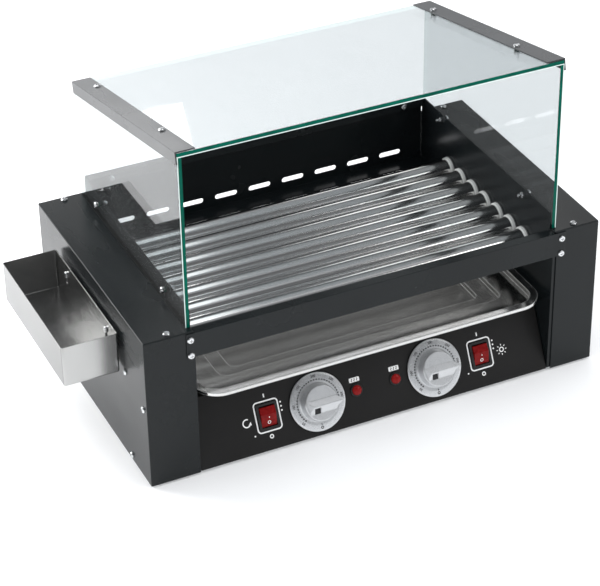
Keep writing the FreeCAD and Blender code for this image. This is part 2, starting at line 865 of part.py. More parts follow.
def make_rocker(side, name):
    """Switch rocker: two facets that meet in a crest, pivot pins at its sides, tipped to one side."""
    rocker = new_body(name)
    outline = new_sketch(rocker, "YZ_Plane", -9.6)
    tilt = math.radians(ROCKER_TILT)
    profile = [(-11.8, -0.5), (-11.8, 2.2), (3.6, 4.6), (11.8, 1.4), (11.8, -0.5), (6, -5), (-6, -5)]
    turned = [
        (y * math.cos(tilt) - (z - ROCKER_PIVOT) * math.sin(tilt),
         y * math.sin(tilt) + (z - ROCKER_PIVOT) * math.cos(tilt) + ROCKER_PIVOT)
        for y, z in profile
    ]
    draw_polygon(outline, turned)
    pad(rocker, outline, 19.2)
    pins = new_sketch(rocker, "YZ_Plane", -10.4)
    draw_circle(pins, (0, ROCKER_PIVOT), 1.5)
    pad(rocker, pins, 20.8)
    on_panel(rocker, control_place("switch_spread", side))
    finish(rocker, name)


def make_thermostat(side):
    """Thermostat behind the panel, its neck in the panel's hole."""
    thermostat = new_body("left_thermostat" if side == LEFT else "right_thermostat")
    can = new_sketch(thermostat, "XY_Plane", -float(plate) - 0.1)
    draw_circle(can, (0, 0), 19)
    pad(thermostat, can, 26, back=True)
    neck = new_sketch(thermostat, "XY_Plane", -float(plate) - 0.1)
    draw_circle(neck, (0, 0), 4.9)
    pad(thermostat, neck, plate)
    bore = new_sketch(thermostat, "XY_Plane", 1)
    draw_circle(bore, (0, 0), 3.1)
    pocket(thermostat, bore, 14)
    on_panel(thermostat, control_place("knob_spread", side))
    return thermostat


HUB_TOP = 16.4
GRIP_TOP = 20.4


def make_knob(side, shaft_name, knob_name):
    """Thermostat shaft, and the dial knob on it: a skirt, a tall hub, and a grip that ends in a pointer."""
    shaft = new_body(shaft_name)
    shaft_sketch = new_sketch(shaft, "XY_Plane", -10)
    draw_circle(shaft_sketch, (0, 0), 3)
    pad(shaft, shaft_sketch, 21)
    on_panel(shaft, control_place("knob_spread", side))
    finish(shaft, shaft_name)

    knob = new_body(knob_name)
    turned = new_sketch(knob, "XZ_Plane")
    rim = cell("knob_dia") / 2
    draw_polygon(
        turned,
        [(0, 1), (rim - 0.6, 1), (rim, 1.6), (rim, 2.6), (rim - 0.8, 3.2), (28, 3.8), (23.6, 3.8),
         (22.6, 4.8), (21.2, 15.6), (20.4, HUB_TOP), (0, HUB_TOP)],
    )
    revolve(knob, turned, "V_Axis")
    grip = new_sketch(knob, "XY_Plane", 3.7)
    draw_polygon(
        grip,
        [(-19.4, 5.2), (19.2, 5.2), (26.4, -0.6), (26.4, -1.8), (19.2, -6), (16.6, -11), (-16.6, -11)],
    )
    pad(knob, grip, GRIP_TOP - 3.7)
    slopes = new_sketch(knob, "YZ_Plane", 27)
    draw_polygon(slopes, [(5.4, HUB_TOP), (-1.2, GRIP_TOP), (-1.2, GRIP_TOP + 1), (5.4, GRIP_TOP + 1)])
    draw_polygon(slopes, [(-2.4, GRIP_TOP), (-11.2, HUB_TOP), (-11.2, GRIP_TOP + 1), (-2.4, GRIP_TOP + 1)])
    pocket(knob, slopes, 50)
    blunt_end = new_sketch(knob, "XZ_Plane", 12)
    draw_polygon(blunt_end, [(-20, HUB_TOP), (-12, GRIP_TOP + 0.2), (-20, GRIP_TOP + 0.2)])
    pocket(knob, blunt_end, 24)
    window = new_sketch(knob, "XY_Plane", GRIP_TOP)
    draw_rectangle(window, (-11.6, -11.4), (-3.8, -4))
    pocket(knob, window, GRIP_TOP - HUB_TOP + 0.3)
    bore = new_sketch(knob, "XY_Plane", 1)
    draw_circle(bore, (0, 0), 3.03)
    pocket(knob, bore, 10.1, forward=True)
    on_panel(knob, control_place("knob_spread", side))
    finish(knob, knob_name)


def make_lamps():
    """Indicator lamps: a black body through the panel and a red lens on each."""
    holder = new_body("lamp_holder_template")
    sketch = new_sketch(holder, "XZ_Plane")
    draw_polygon(
        sketch,
        [(0, -20), (5.9, -20), (5.9, 0.1), (7.6, 0.1), (7.6, 1.4), (6.9, 2), (6.1, 2), (6.1, 0.9), (0, 0.9)],
    )
    revolve(holder, sketch, "V_Axis")
    lens = new_body("lamp_lens_template")
    dome = new_sketch(lens, "XZ_Plane")
    draw_polygon(dome, [(0, 1), (6, 1), (6, 2.4), (5.5, 3.3), (4.4, 4.1), (2.6, 4.7), (0, 4.9)])
    revolve(lens, dome, "V_Axis")
    places = [
        FreeCAD.Placement(
            FreeCAD.Vector(
                float(control_place("lamp_spread", side)), float(panel_middle_y), float(panel_middle_z)
            ),
            PANEL_TURN,
        )
        for side in (LEFT, RIGHT)
    ]
    copies("indicator_lamps", holder, places)
    copies("lamp_lenses", lens, places)


# ---- drip tray and condiment box ----
def make_drip_tray():
    """Pressed pan: flat flange with a turned-down edge, then three floors, each a step lower."""
    body = new_body("drip_tray")
    half = cell("tray_width") / 2
    front = -cell("tray_front")
    back = front + cell("tray_depth")
    rim = cell("tray_rim")
    corner = cell("tray_corner")
    step = cell("tray_step")
    sheet_thick = 0.8
    flange = cell("tray_flange")

    def ring(level, inset, radius, grow=0):
        sketch = new_sketch(body, "XY_Plane", level)
        reach = as_size(inset) - grow
        draw_rounded(sketch, (-half + reach, front + reach), (half - reach, back - reach), radius)
        return sketch

    pad(body, ring(rim, 0, corner), 4, back=True)
    insets = (flange, flange + 29, flange + 50)
    radii = (corner - flange, as_size(13), as_size(11))
    for floor, (inset, radius) in enumerate(zip(insets, radii), start=1):
        pad(body, ring(rim, inset, radius), step * floor + sheet_thick, back=True)
    pocket(body, ring(rim - 4 - 1, sheet_thick, corner - sheet_thick), 4 + 1 - sheet_thick, forward=True)
    for floor, (inset, radius) in enumerate(zip(insets, radii), start=1):
        pad(body, ring(rim, inset, radius), step * floor + sheet_thick, back=True)
    for floor, (inset, radius) in enumerate(zip(insets, radii), start=1):
        pocket(body, ring(rim, inset + sheet_thick, radius - sheet_thick), step * floor)
    finish(body, "drip_tray")


def make_condiment_box():
    """Open box with a thin wall; two keyholes in its inner side hang it on the studs."""
    body = new_body("condiment_box")
    near = -half_width - cell("box_gap")
    far = near - cell("box_width")
    front = cell("box_middle") - cell("box_length") / 2
    back = cell("box_middle") + cell("box_length") / 2
    top = cell("box_top")
    sheet_thick = 1
    outline = new_sketch(body, "XY_Plane", top)
    draw_rectangle(outline, (far, front), (near, back))
    pad(body, outline, cell("box_height"), back=True)

    def is_corner(edge):
        return edge.BoundBox.ZLength > 10 or edge.BoundBox.ZMax < float(top) - 10

    round_edges(body, is_corner, as_size(2.5))
    inside = new_sketch(body, "XY_Plane", top)
    low = (far + sheet_thick, front + sheet_thick)
    high = (near - sheet_thick, back - sheet_thick)
    draw_rounded(inside, low, high, as_size(1.6))
    pocket(body, inside, cell("box_height") - sheet_thick)
    keyholes = new_sketch(body, "YZ_Plane", near + 1)
    slots = new_sketch(body, "YZ_Plane", near + 1)
    for along in stud_places():
        draw_circle(keyholes, (along, STUD_LEVEL - 8), 4.6)
        draw_rounded(slots, (along - 2.4, STUD_LEVEL - 9), (along + 2.4, STUD_LEVEL + 2.6), as_size(2.3))
    pocket(body, keyholes, 4)
    pocket(body, slots, 4)
    finish(body, "condiment_box")


def make_box_studs():
    """Shouldered studs on the left cover that the box hangs on."""
    stud = new_body("stud_template")
    sketch = new_sketch(stud, "XZ_Plane")
    draw_polygon(
        sketch,
        [(0, -8), (2, -8), (2, 0.1), (3.4, 0.1), (3.4, 2.6), (2.1, 2.6), (2.1, 4.7), (4.1, 4.7), (3.6, 6.4),
         (0, 6.4)],
    )
    revolve(stud, sketch, "V_Axis")
    places = [at(-half_width, along, STUD_LEVEL, (-1, 0, 0)) for along in stud_places()]
    copies("box_studs", stud, places)


# ---- glass hood ----
def make_side_glass(side, name):
    """Side pane: taller at the front, its top edge following the roof, bolted to the wall's lip."""
    body = new_body(name)
    drop = (glass + 0.2) * roof_length / roof_run
    foot = body_top + 0.3
    sheet = new_sketch(body, "YZ_Plane", pane_inner * side)
    draw_polygon(
        sheet,
        [(glass_front, foot), (glass_back, foot), (glass_back, cell("hood_back_top") - drop),
         (glass_front, cell("hood_front_top") - drop)],
    )
    pad(body, sheet, glass, back=side == LEFT)
    holes = new_sketch(body, "YZ_Plane", (pane_inner - 1) * side)
    for along in (-cell("pane_screw_front"), cell("pane_screw_back")):
        draw_circle(holes, (along, cell("pane_screw_level")), as_size(3))
    pocket(body, holes, glass + 2, forward=side == RIGHT)
    finish(body, name)


def bar_screw_across(side):
    return (pane_outer + cell("bar_thick") - cell("bar_screw_inset")) * side


ROOF_SCREWS_ALONG = (as_size(-84), as_size(122))


def make_top_glass():
    body = new_body("top_glass")
    half = roof_length / 2
    sheet = new_sketch(body, "XY_Plane")
    draw_rounded(sheet, (-pane_outer, -half), (pane_outer, half), as_size(1.5))
    pad(body, sheet, glass, back=True)
    holes = new_sketch(body, "XY_Plane", 1)
    for side in (LEFT, RIGHT):
        for along in ROOF_SCREWS_ALONG:
            draw_circle(holes, (bar_screw_across(side), along), as_size(3))
    pocket(body, holes, glass + 2)
    on_roof(body)
    finish(body, "top_glass")


def make_glass_bar(side):
    """Angle bar over the joint of the top and side glass."""
    body = new_body("left_glass_bar" if side == LEFT else "right_glass_bar")
    thick = cell("bar_thick")
    outer = pane_outer + thick + 0.1
    inner = outer - cell("bar_flange")
    low = -cell("bar_drop") + thick
    half = roof_length / 2 - 1.5
    profile = [(inner, 0.1), (outer - thick, 0.1), (outer - thick, low), (outer, low), (outer, thick + 0.1),
               (inner, thick + 0.1)]
    outline = new_sketch(body, "XZ_Plane", half)
    draw_polygon(outline, [(as_size(across) * side, level) for across, level in profile])
    pad(body, outline, half * 2, back=True)
    holes = new_sketch(body, "XY_Plane", thick + 1)
    for along in ROOF_SCREWS_ALONG:
        draw_circle(holes, (bar_screw_across(side), along), screw_hole)
    pocket(body, holes, thick + 2)
    on_roof(body)
    return body


def pane_screw_places():
    return (-cell("pane_screw_front"), cell("pane_screw_back"))


def make_fasteners():
    """All the screws and nuts: long ones with nuts hold the glass, short ones the case."""
    sides = (LEFT, RIGHT)
    level = cell("pane_screw_level")
    outside = float(pane_outer) + 0.05
    inside = float(wall_face) - 0.05
    panes = [(side, along) for side in sides for along in pane_screw_places()]
    bar_top = float(cell("bar_thick")) + 0.15
    under_roof = -float(glass) - 0.05
    roof_spots = [(bar_screw_across(side), along) for side in sides for along in ROOF_SCREWS_ALONG]
    flipped = ROOF_TURN.multiply(FreeCAD.Rotation(FreeCAD.Vector(1, 0, 0), 180))
    copies(
        "glass_screws", long_screw,
        [at(outside * side, along, level, (side, 0, 0)) for side, along in panes]
        + [FreeCAD.Placement(roof_point(x, y, bar_top), ROOF_TURN) for x, y in roof_spots],
    )
    copies(
        "glass_nuts", nut,
        [at(inside * side, along, level, (-side, 0, 0)) for side, along in panes]
        + [FreeCAD.Placement(roof_point(x, y, under_roof), flipped) for x, y in roof_spots],
    )

    lid = float(body_top) + 0.05
    beside = float(half_width) + 0.05
    rail_front = -half_depth - 0.1 - plate - 0.05
    places = [at(COVER_SCREW_ACROSS * side, along, lid) for side in sides for along in COVER_SCREWS_ALONG]
    places += [at(beside * side, along, low, (side, 0, 0)) for side in sides for along, low in SIDE_SCREWS]
    places += [
        at(rail_screw_across(side), rail_front, height, (0, -1, 0))
        for side in sides
        for height in RAIL_SCREW_LEVELS
    ]
    lamp_face = lamp_front() - 0.05
    places += [at(across, lamp_face, LAMP_SCREW_LEVEL, (0, -1, 0)) for across in LAMP_SCREWS_ACROSS]
    copies("case_screws", short_screw, places)


def lamp_front():
    """The front face of the lamp channel, which lies against the back panel."""
    return half_depth - plate - gap - plate - 0.1 - 10


def make_work_light():
    """Lamp channel along the top of the back panel, and the light strip inside it."""
    front = lamp_front()
    wall = front + 10
    channel = new_body("lamp_channel")
    high = cell("back_top") - 0.4
    low = high - 15
    profile = new_sketch(channel, "YZ_Plane", -(wall_face - 3))
    draw_polygon(
        profile,
        [(wall, high), (front, high), (front, low + 5), (front + 1, low + 5), (front + 1, high - 1),
         (wall - 1, high - 1),
         (wall - 1, low), (wall, low)],
    )
    pad(channel, profile, (wall_face - 3) * 2)
    holes = new_sketch(channel, "XZ_Plane", -front + 1)
    for across in LAMP_SCREWS_ACROSS:
        draw_circle(holes, (across, LAMP_SCREW_LEVEL), screw_hole)
    pocket(channel, holes, 14)
    finish(channel, "lamp_channel")
    strip = new_body("light_strip")
    outline = new_sketch(strip, "YZ_Plane", as_size(-190))
    draw_rectangle(outline, (front + 1.6, high - 5), (front + 6.6, high - 1.2))
    pad(strip, outline, 380)
    finish(strip, "light_strip")


# ---- rollers, bushes and drive ----
def make_roller(index, along):
    """Hollow stainless roller, its plugged ends turned down to journals; the left carries the sprocket."""
    body = new_body(f"roller_{index}")
    tube = cell("tube_half")
    left_end = -cell("sprocket_at") - 8
    right_end = tube + 8
    journal = cell("journal_dia") / 2
    bore = cell("journal_bore") / 2
    hollow = cell("roller_bore") / 2
    plug = 4
    sketch = new_sketch(body, "XY_Plane")
    draw_polygon(
        sketch,
        [(left_end, bore), (left_end, journal), (-tube, journal), (-tube, roller_radius - 0.6),
         (-tube + 0.6, roller_radius), (tube - 0.6, roller_radius), (tube, roller_radius - 0.6),
         (tube, journal), (right_end, journal), (right_end, bore), (tube - plug, bore), (tube - plug, hollow),
         (-tube + plug, hollow),
         (-tube + plug, bore)],
    )
    revolve(body, sketch, "H_Axis")
    put(body, (as_size(0), along, roller_level))
    finish(body, f"roller_{index}")


def make_bushes():
    """White bearing bushes with a shoulder inside each wall, and the dark washers round them."""
    bush = new_body("bush_template")
    sketch = new_sketch(bush, "XZ_Plane")
    inner = roller_radius + cell("running_gap")
    outer = cell("bush_dia") / 2
    proud = cell("bush_proud")
    behind = plate + 0.2
    draw_polygon(
        sketch,
        [(inner, proud), (outer - 0.8, proud), (outer, proud - 0.8), (outer, -behind), (outer + 0.9, -behind),
         (outer + 0.9, -behind - 2), (inner, -behind - 2)],
    )
    revolve(bush, sketch, "V_Axis")
    washer = new_body("washer_template")
    ring = new_sketch(washer, "XZ_Plane")
    edge = cell("washer_dia") / 2
    inside = outer + 0.15
    draw_polygon(ring, [(inside, 0.1), (edge - 0.2, 0.1), (edge, 0.5), (edge - 0.4, 1.1), (inside, 1.3)])
    revolve(washer, ring, "V_Axis")
    places = [
        at(wall_face * side, along, roller_level, (-side, 0, 0))
        for side in (LEFT, RIGHT)
        for along in roller_places
    ]
    copies("roller_bushes", bush, places)
    copies("bush_washers", washer, places)


def pitch_radius(teeth):
    """Radius of the circle through the chain's pins round a sprocket."""
    return float(cell("chain_pitch")) / 2 / math.sin(math.pi / teeth)


def make_sprocket(name, teeth, bore_radius, hub_radius, place):
    """Toothed disc with round gaps for the chain's rollers, and a plain hub; its axis is Z."""
    body = new_body(name)
    pitch = pitch_radius(teeth)
    width = cell("tooth_width")
    disc = new_sketch(body, "XY_Plane", -width / 2)
    draw_circle(disc, (0, 0), pitch + 1.3)
    pad(body, disc, width)
    tooth_gap = new_sketch(body, "XY_Plane", width / 2 + 1)
    draw_circle(tooth_gap, (pitch, 0), 1.75)
    doc.recompute()
    repeat_round(body, pocket(body, tooth_gap, width + 2), teeth)
    hub = new_sketch(body, "XY_Plane", 0)
    draw_circle(hub, (0, 0), hub_radius)
    pad(body, hub, 7)
    bore = new_sketch(body, "XY_Plane", 8)
    draw_circle(bore, (0, 0), bore_radius)
    pocket(body, bore, 12)
    put(body, place, FreeCAD.Rotation(FreeCAD.Vector(0, 1, 0), 90))
    finish(body, name)


def make_chain():
    """Drive chain: the outer and inner link plates follow the taut loop round the first and last roller
    sprockets and the motor sprocket; pins join them on the two free runs, clear of the teeth."""
    roller_pitch_radius = pitch_radius(int(float(cell("sprocket_teeth"))))
    motor_pitch_radius = pitch_radius(int(float(cell("motor_teeth"))))
    front = (float(roller_places[0]), float(roller_level), roller_pitch_radius)
    back = (float(roller_places[-1]), float(roller_level), roller_pitch_radius)
    motor = (float(roller_middle), float(motor_level), motor_pitch_radius)
    loop = [front, motor, back]
    plane = -float(cell("sprocket_at"))

    def tangent(first, second):
        """The outer tangent line of two circles, on the right of the way from first to second."""
        along, up = second[0] - first[0], second[1] - first[1]
        distance = math.hypot(along, up)
        turn = math.atan2(up, along) - math.pi / 2 + math.asin((first[2] - second[2]) / distance)
        normal = (math.cos(turn), math.sin(turn))
        return [
            (circle[0] + circle[2] * normal[0], circle[1] + circle[2] * normal[1])
            for circle in (first, second)
        ]

    lines = [tangent(loop[n], loop[(n + 1) % 3]) for n in range(3)]

    def outline(grow, x):
        """Closed wire of the loop, grown outwards or inwards, in the plane at x."""
        edges = []
        for n in range(3):
            circle = loop[(n + 1) % 3]
            arriving, leaving = lines[n][1], lines[(n + 1) % 3][0]
            scale = (circle[2] + grow) / circle[2]

            def out(point):
                across = circle[0] + (point[0] - circle[0]) * scale
                height = circle[1] + (point[1] - circle[1]) * scale
                return FreeCAD.Vector(x, across, height)

            start_angle = math.atan2(arriving[1] - circle[1], arriving[0] - circle[0])
            end_angle = math.atan2(leaving[1] - circle[1], leaving[0] - circle[0])
            middle_angle = start_angle + ((end_angle - start_angle) % (2 * math.pi)) / 2
            reach = circle[2] + grow
            middle = FreeCAD.Vector(
                x, circle[0] + reach * math.cos(middle_angle), circle[1] + reach * math.sin(middle_angle)
            )
            edges.append(Part.Arc(out(arriving), middle, out(leaving)).toShape())
        joined = []
        for n, arc in enumerate(edges):
            following = edges[(n + 1) % 3]
            joined.append(arc)
            joined.append(Part.LineSegment(arc.lastVertex().Point, following.firstVertex().Point).toShape())
        return Part.Wire(joined)

    plate_height = 2.6
    plate_thick = 0.8
    clear = float(cell("tooth_width")) / 2 + 0.3
    plates = []
    for start in (plane - clear - plate_thick, plane + clear):
        through = FreeCAD.Vector(plate_thick, 0, 0)
        outer = Part.Face(outline(plate_height, start)).extrude(through)
        inner = Part.Face(outline(-plate_height, start)).extrude(through)
        plates.append(outer.cut(inner))
    chain = plates[0].fuse(plates[1])
    pitch = float(cell("chain_pitch"))
    for line in lines[:2]:
        start, end = line
        length = math.hypot(end[0] - start[0], end[1] - start[1])
        count = int(length / pitch) - 3
        for pin in range(2, count):
            part = pin * pitch / length
            spot = FreeCAD.Vector(
                plane - clear - plate_thick - 0.4, start[0] + (end[0] - start[0]) * part,
                start[1] + (end[1] - start[1]) * part
            )
            span = 2 * (clear + plate_thick + 0.4)
            chain = chain.fuse(Part.makeCylinder(1.2, span, spot, FreeCAD.Vector(1, 0, 0)))
    thing = doc.addObject("Part::Feature", "drive_chain")
    thing.Shape = chain.removeSplitter()
    finish(thing, "drive_chain")


motor_level = roller_level - cell("motor_drop")


def make_motor():
    """Gear motor on a channel bracket fixed to the left wall; its shaft carries the motor sprocket."""
    face = -(cell("sprocket_at") + 10)
    along = roller_middle
    bracket_thick = 1.5
    bracket_back = -(wall_outer + 0.1)
    web = block("bracket_web", (face - bracket_thick, along - 34, motor_level - 38),
                (face, along + 34, motor_level + 38))
    arms = [
        block("bracket_arm", (face - bracket_thick, along - 20, level),
              (bracket_back, along + 20, level + bracket_thick))
        for level in (motor_level - 38, motor_level + 38 - bracket_thick)
    ]
    hole = rod("bracket_hole", "x", (face - 5, along, motor_level), as_size(7), as_size(10))
    finish(remove("motor_bracket_cut", join("bracket_plates", [web] + arms), [hole]), "motor_bracket")

    mount = face - bracket_thick - 0.1
    can = new_body("gear_motor")
    side = new_sketch(can, "YZ_Plane", mount)
    draw_rounded(side, (along - 30, motor_level - 34), (along + 30, motor_level + 34), as_size(6))
    pad(can, side, 9, back=True)
    drum = new_sketch(can, "YZ_Plane", mount - 9)
    draw_circle(drum, (along, motor_level), 26)
    pad(can, drum, 16, back=True)
    hollow = new_sketch(can, "YZ_Plane", mount + 1)
    draw_circle(hollow, (along, motor_level), 4.1)
    pocket(can, hollow, 9)
    finish(can, "gear_motor")

    finish(
        rod("motor_shaft_rod", "x", (mount - 7, along, motor_level), as_size(4), as_size(32)),
        "motor_shaft",
    )
    make_sprocket("motor_sprocket", int(float(cell("motor_teeth"))), as_size(4.02), as_size(7),
                  (-cell("sprocket_at"), along, motor_level))


def make_elements():
    """Heating rods that stand still inside the rollers, with a terminal pin at each end."""
    rods = new_body("element_template")
    sketch = new_sketch(rods, "XY_Plane")
    half = cell("element_half")
    radius = cell("element_dia") / 2
    draw_polygon(
        sketch,
        [(-half - 8, 0), (-half - 8, 1.5), (-half, 1.5), (-half, radius), (half, radius), (half, 1.5),
         (half + 8, 1.5),
         (half + 8, 0)],
    )
    revolve(rods, sketch, "H_Axis")
    copies("heating_elements", rods, [at(0, along, roller_level) for along in roller_places])
    brackets = []
    for side in (LEFT, RIGHT):
        outer = (cell("bracket_at") + 1.5) * side
        inner = cell("bracket_at") * side
        wall = (wall_outer + 0.1) * side
        low_y = roller_places[0] - 27
        high_y = roller_places[-1] + 27
        web_ends = sorted([outer, inner], key=float)
        arm_ends = sorted([outer, wall], key=float)
        low, high = roller_level - 9, roller_level + 9
        web = block("strip_web", (web_ends[0], low_y, low), (web_ends[1], high_y, high))
        arms = [
            block("strip_arm", (arm_ends[0], start, low), (arm_ends[1], start + 1.5, high))
            for start in (low_y, high_y - 1.5)
        ]
        holes = [
            rod("strip_hole", "x", (web_ends[0] - 2, along, roller_level), radius + 0.1, as_size(6))
            for along in roller_places
        ]
        brackets.append(remove("strip_cut", join("strip_plates", [web] + arms), holes))
    finish(pair("element_bracket_pair", brackets), "element_brackets")


# ---- electrics ----
def bend(centre, start_angle, end_angle, radius):
    """An arc in an upright plane along X, about a centre, with angles from +X towards +Z in degrees."""
    points = []
    for angle in (start_angle, (start_angle + end_angle) / 2, end_angle):
        turn = math.radians(angle)
        points.append(centre + FreeCAD.Vector(radius * math.cos(turn), 0, radius * math.sin(turn)))
    return Part.Arc(*points).toShape()


def cord_path(x, y, z, back, plug_x):
    """The cord's middle line: out of the gland, down to the table, along it, and up into the plug."""
    lying, plug_level = 4.4, 9.5
    fall, turn_in, rise_bend = 18, z - 18 - 4.4, 60
    out = FreeCAD.Vector(x, back - fall, z)
    halfway = math.radians(45)
    down_middle = FreeCAD.Vector(x, back - fall + fall * math.sin(halfway), z - fall + fall * math.cos(halfway))
    down = FreeCAD.Vector(x, back, z - fall)
    rise_angle = math.degrees(math.acos(1 - (plug_level - lying) / (2 * rise_bend)))
    rise_reach = rise_bend * math.sin(math.radians(rise_angle))
    rise_from = plug_x + 12 + 2 * rise_reach
    on_table = FreeCAD.Vector(x - turn_in, back, lying)
    return [
        Part.LineSegment(FreeCAD.Vector(x, y - 30, z), out).toShape(),
        Part.Arc(out, down_middle, down).toShape(),
        bend(FreeCAD.Vector(x - turn_in, back, lying + turn_in), 0, -90, turn_in),
        Part.LineSegment(on_table, FreeCAD.Vector(rise_from, back, lying)).toShape(),
        bend(FreeCAD.Vector(rise_from, back, lying + rise_bend), -90, -90 - rise_angle, rise_bend),
        bend(FreeCAD.Vector(plug_x + 12, back, plug_level - rise_bend), 90 - rise_angle, 90, rise_bend),
        Part.LineSegment(
            FreeCAD.Vector(plug_x + 12, back, plug_level), FreeCAD.Vector(plug_x, back, plug_level)
        ).toShape(),
    ]


def wire_path(along, level):
    """A wire's middle line: in from the terminal block, forwards beside the wall, and out again."""
    beside_wall, end, front, curl = 232.9, 243, -140, 4
    corner = curl * (1 - math.sin(math.radians(45)))

    def point(x, y):
        return FreeCAD.Vector(x, y, level)

    return [
        Part.LineSegment(point(end, along), point(beside_wall + curl, along)).toShape(),
        Part.Arc(
            point(beside_wall + curl, along), point(beside_wall + corner, along - corner),
            point(beside_wall, along - curl),
        ).toShape(),
        Part.LineSegment(point(beside_wall, along - curl), point(beside_wall, front + curl)).toShape(),
        Part.Arc(
            point(beside_wall, front + curl), point(beside_wall + corner, front + corner),
            point(beside_wall + curl, front),
        ).toShape(),
        Part.LineSegment(point(beside_wall + curl, front), point(end, front)).toShape(),
    ]


def piped(edges, radius):
    """A round cable along lines and arcs that run smoothly into each other."""
    first = edges[0]
    ring = Part.Wire([Part.makeCircle(radius, first.Vertexes[0].Point, first.tangentAt(first.FirstParameter))])
    return Part.Wire(edges).makePipeShell([ring], True, False)


def make_electrics():
    """Terminal block, wiring, cord gland, power cord and plug."""
    floor = float(body_base + plate) + 0.2
    terminal_base = block("terminal_base", (as_size(247), as_size(60), as_size(floor)),
                          (as_size(269), as_size(120), as_size(floor + 14)))
    wells = [
        rod("terminal_well", "z", (as_size(258), as_size(66 + 12 * n), as_size(floor + 8)),
            as_size(3.2), as_size(8))
        for n in range(5)
    ]
    finish(remove("terminal_block_cut", terminal_base, wells), "terminal_block")

    gland_spot = (float(CORD_ACROSS), float(half_depth), float(CORD_LEVEL))
    gland = new_body("cord_gland")
    profile = new_sketch(gland, "XZ_Plane")
    draw_polygon(profile, [(4.5, -6), (7, -6), (7, 0.1), (11, 0.1), (11, 4), (7.4, 6), (6, 16), (4.5, 16)])
    revolve(gland, profile, "V_Axis")
    put(gland, [as_size(value) for value in gland_spot], turned_to((0, 1, 0)))
    finish(gland, "cord_gland")

    x, y, z = gland_spot
    back = y + 42
    plug_x = x - 352
    cord = doc.addObject("Part::Feature", "power_cord")
    cord.Shape = piped(cord_path(x, y, z, back, plug_x), 3.9)
    finish(cord, "power_cord")

    grip = block("plug_grip", (as_size(plug_x - 34), as_size(back - 11), as_size(1.5)),
                 (as_size(plug_x - 0.4), as_size(back + 11), as_size(17.5)))
    pins = [
        rod("plug_pin", "x", (as_size(plug_x - 52), as_size(back + across), as_size(9.5)),
            as_size(2.2), as_size(20))
        for across in (-6, 6)
    ]
    finish(join("plug_joined", [grip] + pins), "plug")

    wires = [piped(wire_path(66 + 12 * n, floor + 3.5 + 4 * n), 1.2) for n in range(3)]
    harness = doc.addObject("Part::Feature", "wiring")
    harness.Shape = Part.makeCompound(wires)
    finish(harness, "wiring")


# ---- build everything ----
make_base_pan()
make_feet()
make_wall(LEFT, "left_inner_wall")
make_wall(RIGHT, "right_inner_wall")
make_cover(LEFT, "left_cabinet_cover")
make_cover(RIGHT, "right_cabinet_cover")
make_back_panel()
make_front_rail()
make_tray_shelf()
make_control_panel()
switch_housings = [make_switch_housing(side) for side in (LEFT, RIGHT)]
finish(pair("switch_housing_pair", switch_housings), "switch_housings")
make_rocker(LEFT, "turn_switch_rocker")
make_rocker(RIGHT, "light_switch_rocker")
finish(pair("thermostat_pair", [make_thermostat(LEFT), make_thermostat(RIGHT)]), "thermostats")
make_knob(LEFT, "left_knob_shaft", "left_knob")
make_knob(RIGHT, "right_knob_shaft", "right_knob")
make_lamps()
make_drip_tray()
make_condiment_box()
make_box_studs()
make_side_glass(LEFT, "left_glass")
make_side_glass(RIGHT, "right_glass")
make_top_glass()
finish(pair("glass_bar_pair", [make_glass_bar(LEFT), make_glass_bar(RIGHT)]), "glass_bars")
make_fasteners()
make_work_light()
for number, place in enumerate(roller_places, start=1):
    make_roller(number, place)
    make_sprocket(
        f"sprocket_{number}", int(float(cell("sprocket_teeth"))),
        cell("journal_dia") / 2 + 0.02, as_size(10.4),
        (-cell("sprocket_at"), place, roller_level),
    )
make_bushes()
make_chain()
make_motor()
make_elements()
make_electrics()
doc.recompute()

for item in doc.Objects:
    if "Invalid" in item.State or "Error" in item.State:
        raise SystemExit(f"{item.Name} ({item.Label}) did not build: {item.State}")
for thing in PARTS:
    if thing.Shape.isNull() or not thing.Shape.isValid() or not thing.Shape.Solids:
        raise SystemExit(f"{thing.Label} has no valid solid")

os.makedirs("parts", exist_ok=True)
pan_underside = FreeCAD.Vector(0, 0, float(body_base))
for thing in PARTS:
    shape = thing.Shape.copy()
    shape.translate(-pan_underside)
    shape.exportStep(f"parts/{thing.Label}.step")
    print(f"{thing.Label}: {len(thing.Shape.Solids)} solids, {thing.Shape.Volume:.0f} mm3")
print(len(PARTS), "parts")
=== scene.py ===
import json
import math

import bmesh
import bpy
from mathutils import Matrix, Vector
from mathutils.bvhtree import BVHTree


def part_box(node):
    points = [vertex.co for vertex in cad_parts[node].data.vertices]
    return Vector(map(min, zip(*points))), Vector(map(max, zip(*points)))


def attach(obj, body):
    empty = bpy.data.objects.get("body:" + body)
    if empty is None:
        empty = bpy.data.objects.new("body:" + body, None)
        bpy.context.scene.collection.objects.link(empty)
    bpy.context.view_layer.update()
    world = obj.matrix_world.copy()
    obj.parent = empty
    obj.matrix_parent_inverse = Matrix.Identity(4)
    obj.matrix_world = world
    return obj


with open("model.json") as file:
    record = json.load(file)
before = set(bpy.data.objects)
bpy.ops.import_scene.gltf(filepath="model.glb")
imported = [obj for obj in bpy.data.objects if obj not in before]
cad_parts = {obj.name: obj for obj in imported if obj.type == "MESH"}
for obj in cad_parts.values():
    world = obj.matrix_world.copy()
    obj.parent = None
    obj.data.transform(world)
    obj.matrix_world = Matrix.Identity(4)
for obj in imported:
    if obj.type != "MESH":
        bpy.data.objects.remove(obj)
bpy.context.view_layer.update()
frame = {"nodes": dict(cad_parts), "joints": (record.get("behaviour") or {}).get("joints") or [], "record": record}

# Looks of the hot dog roller grill: a material for every CAD piece, soft edges, the marks on the panel,
# dials and rockers, and a pale studio. Lengths are in metres unless they are multiplied by MM, and the
# places of marks come from the CAD frame's joints and boxes.

MM = 0.001
joints = {joint["name"]: joint for joint in frame["joints"]}
nodes = frame["nodes"]


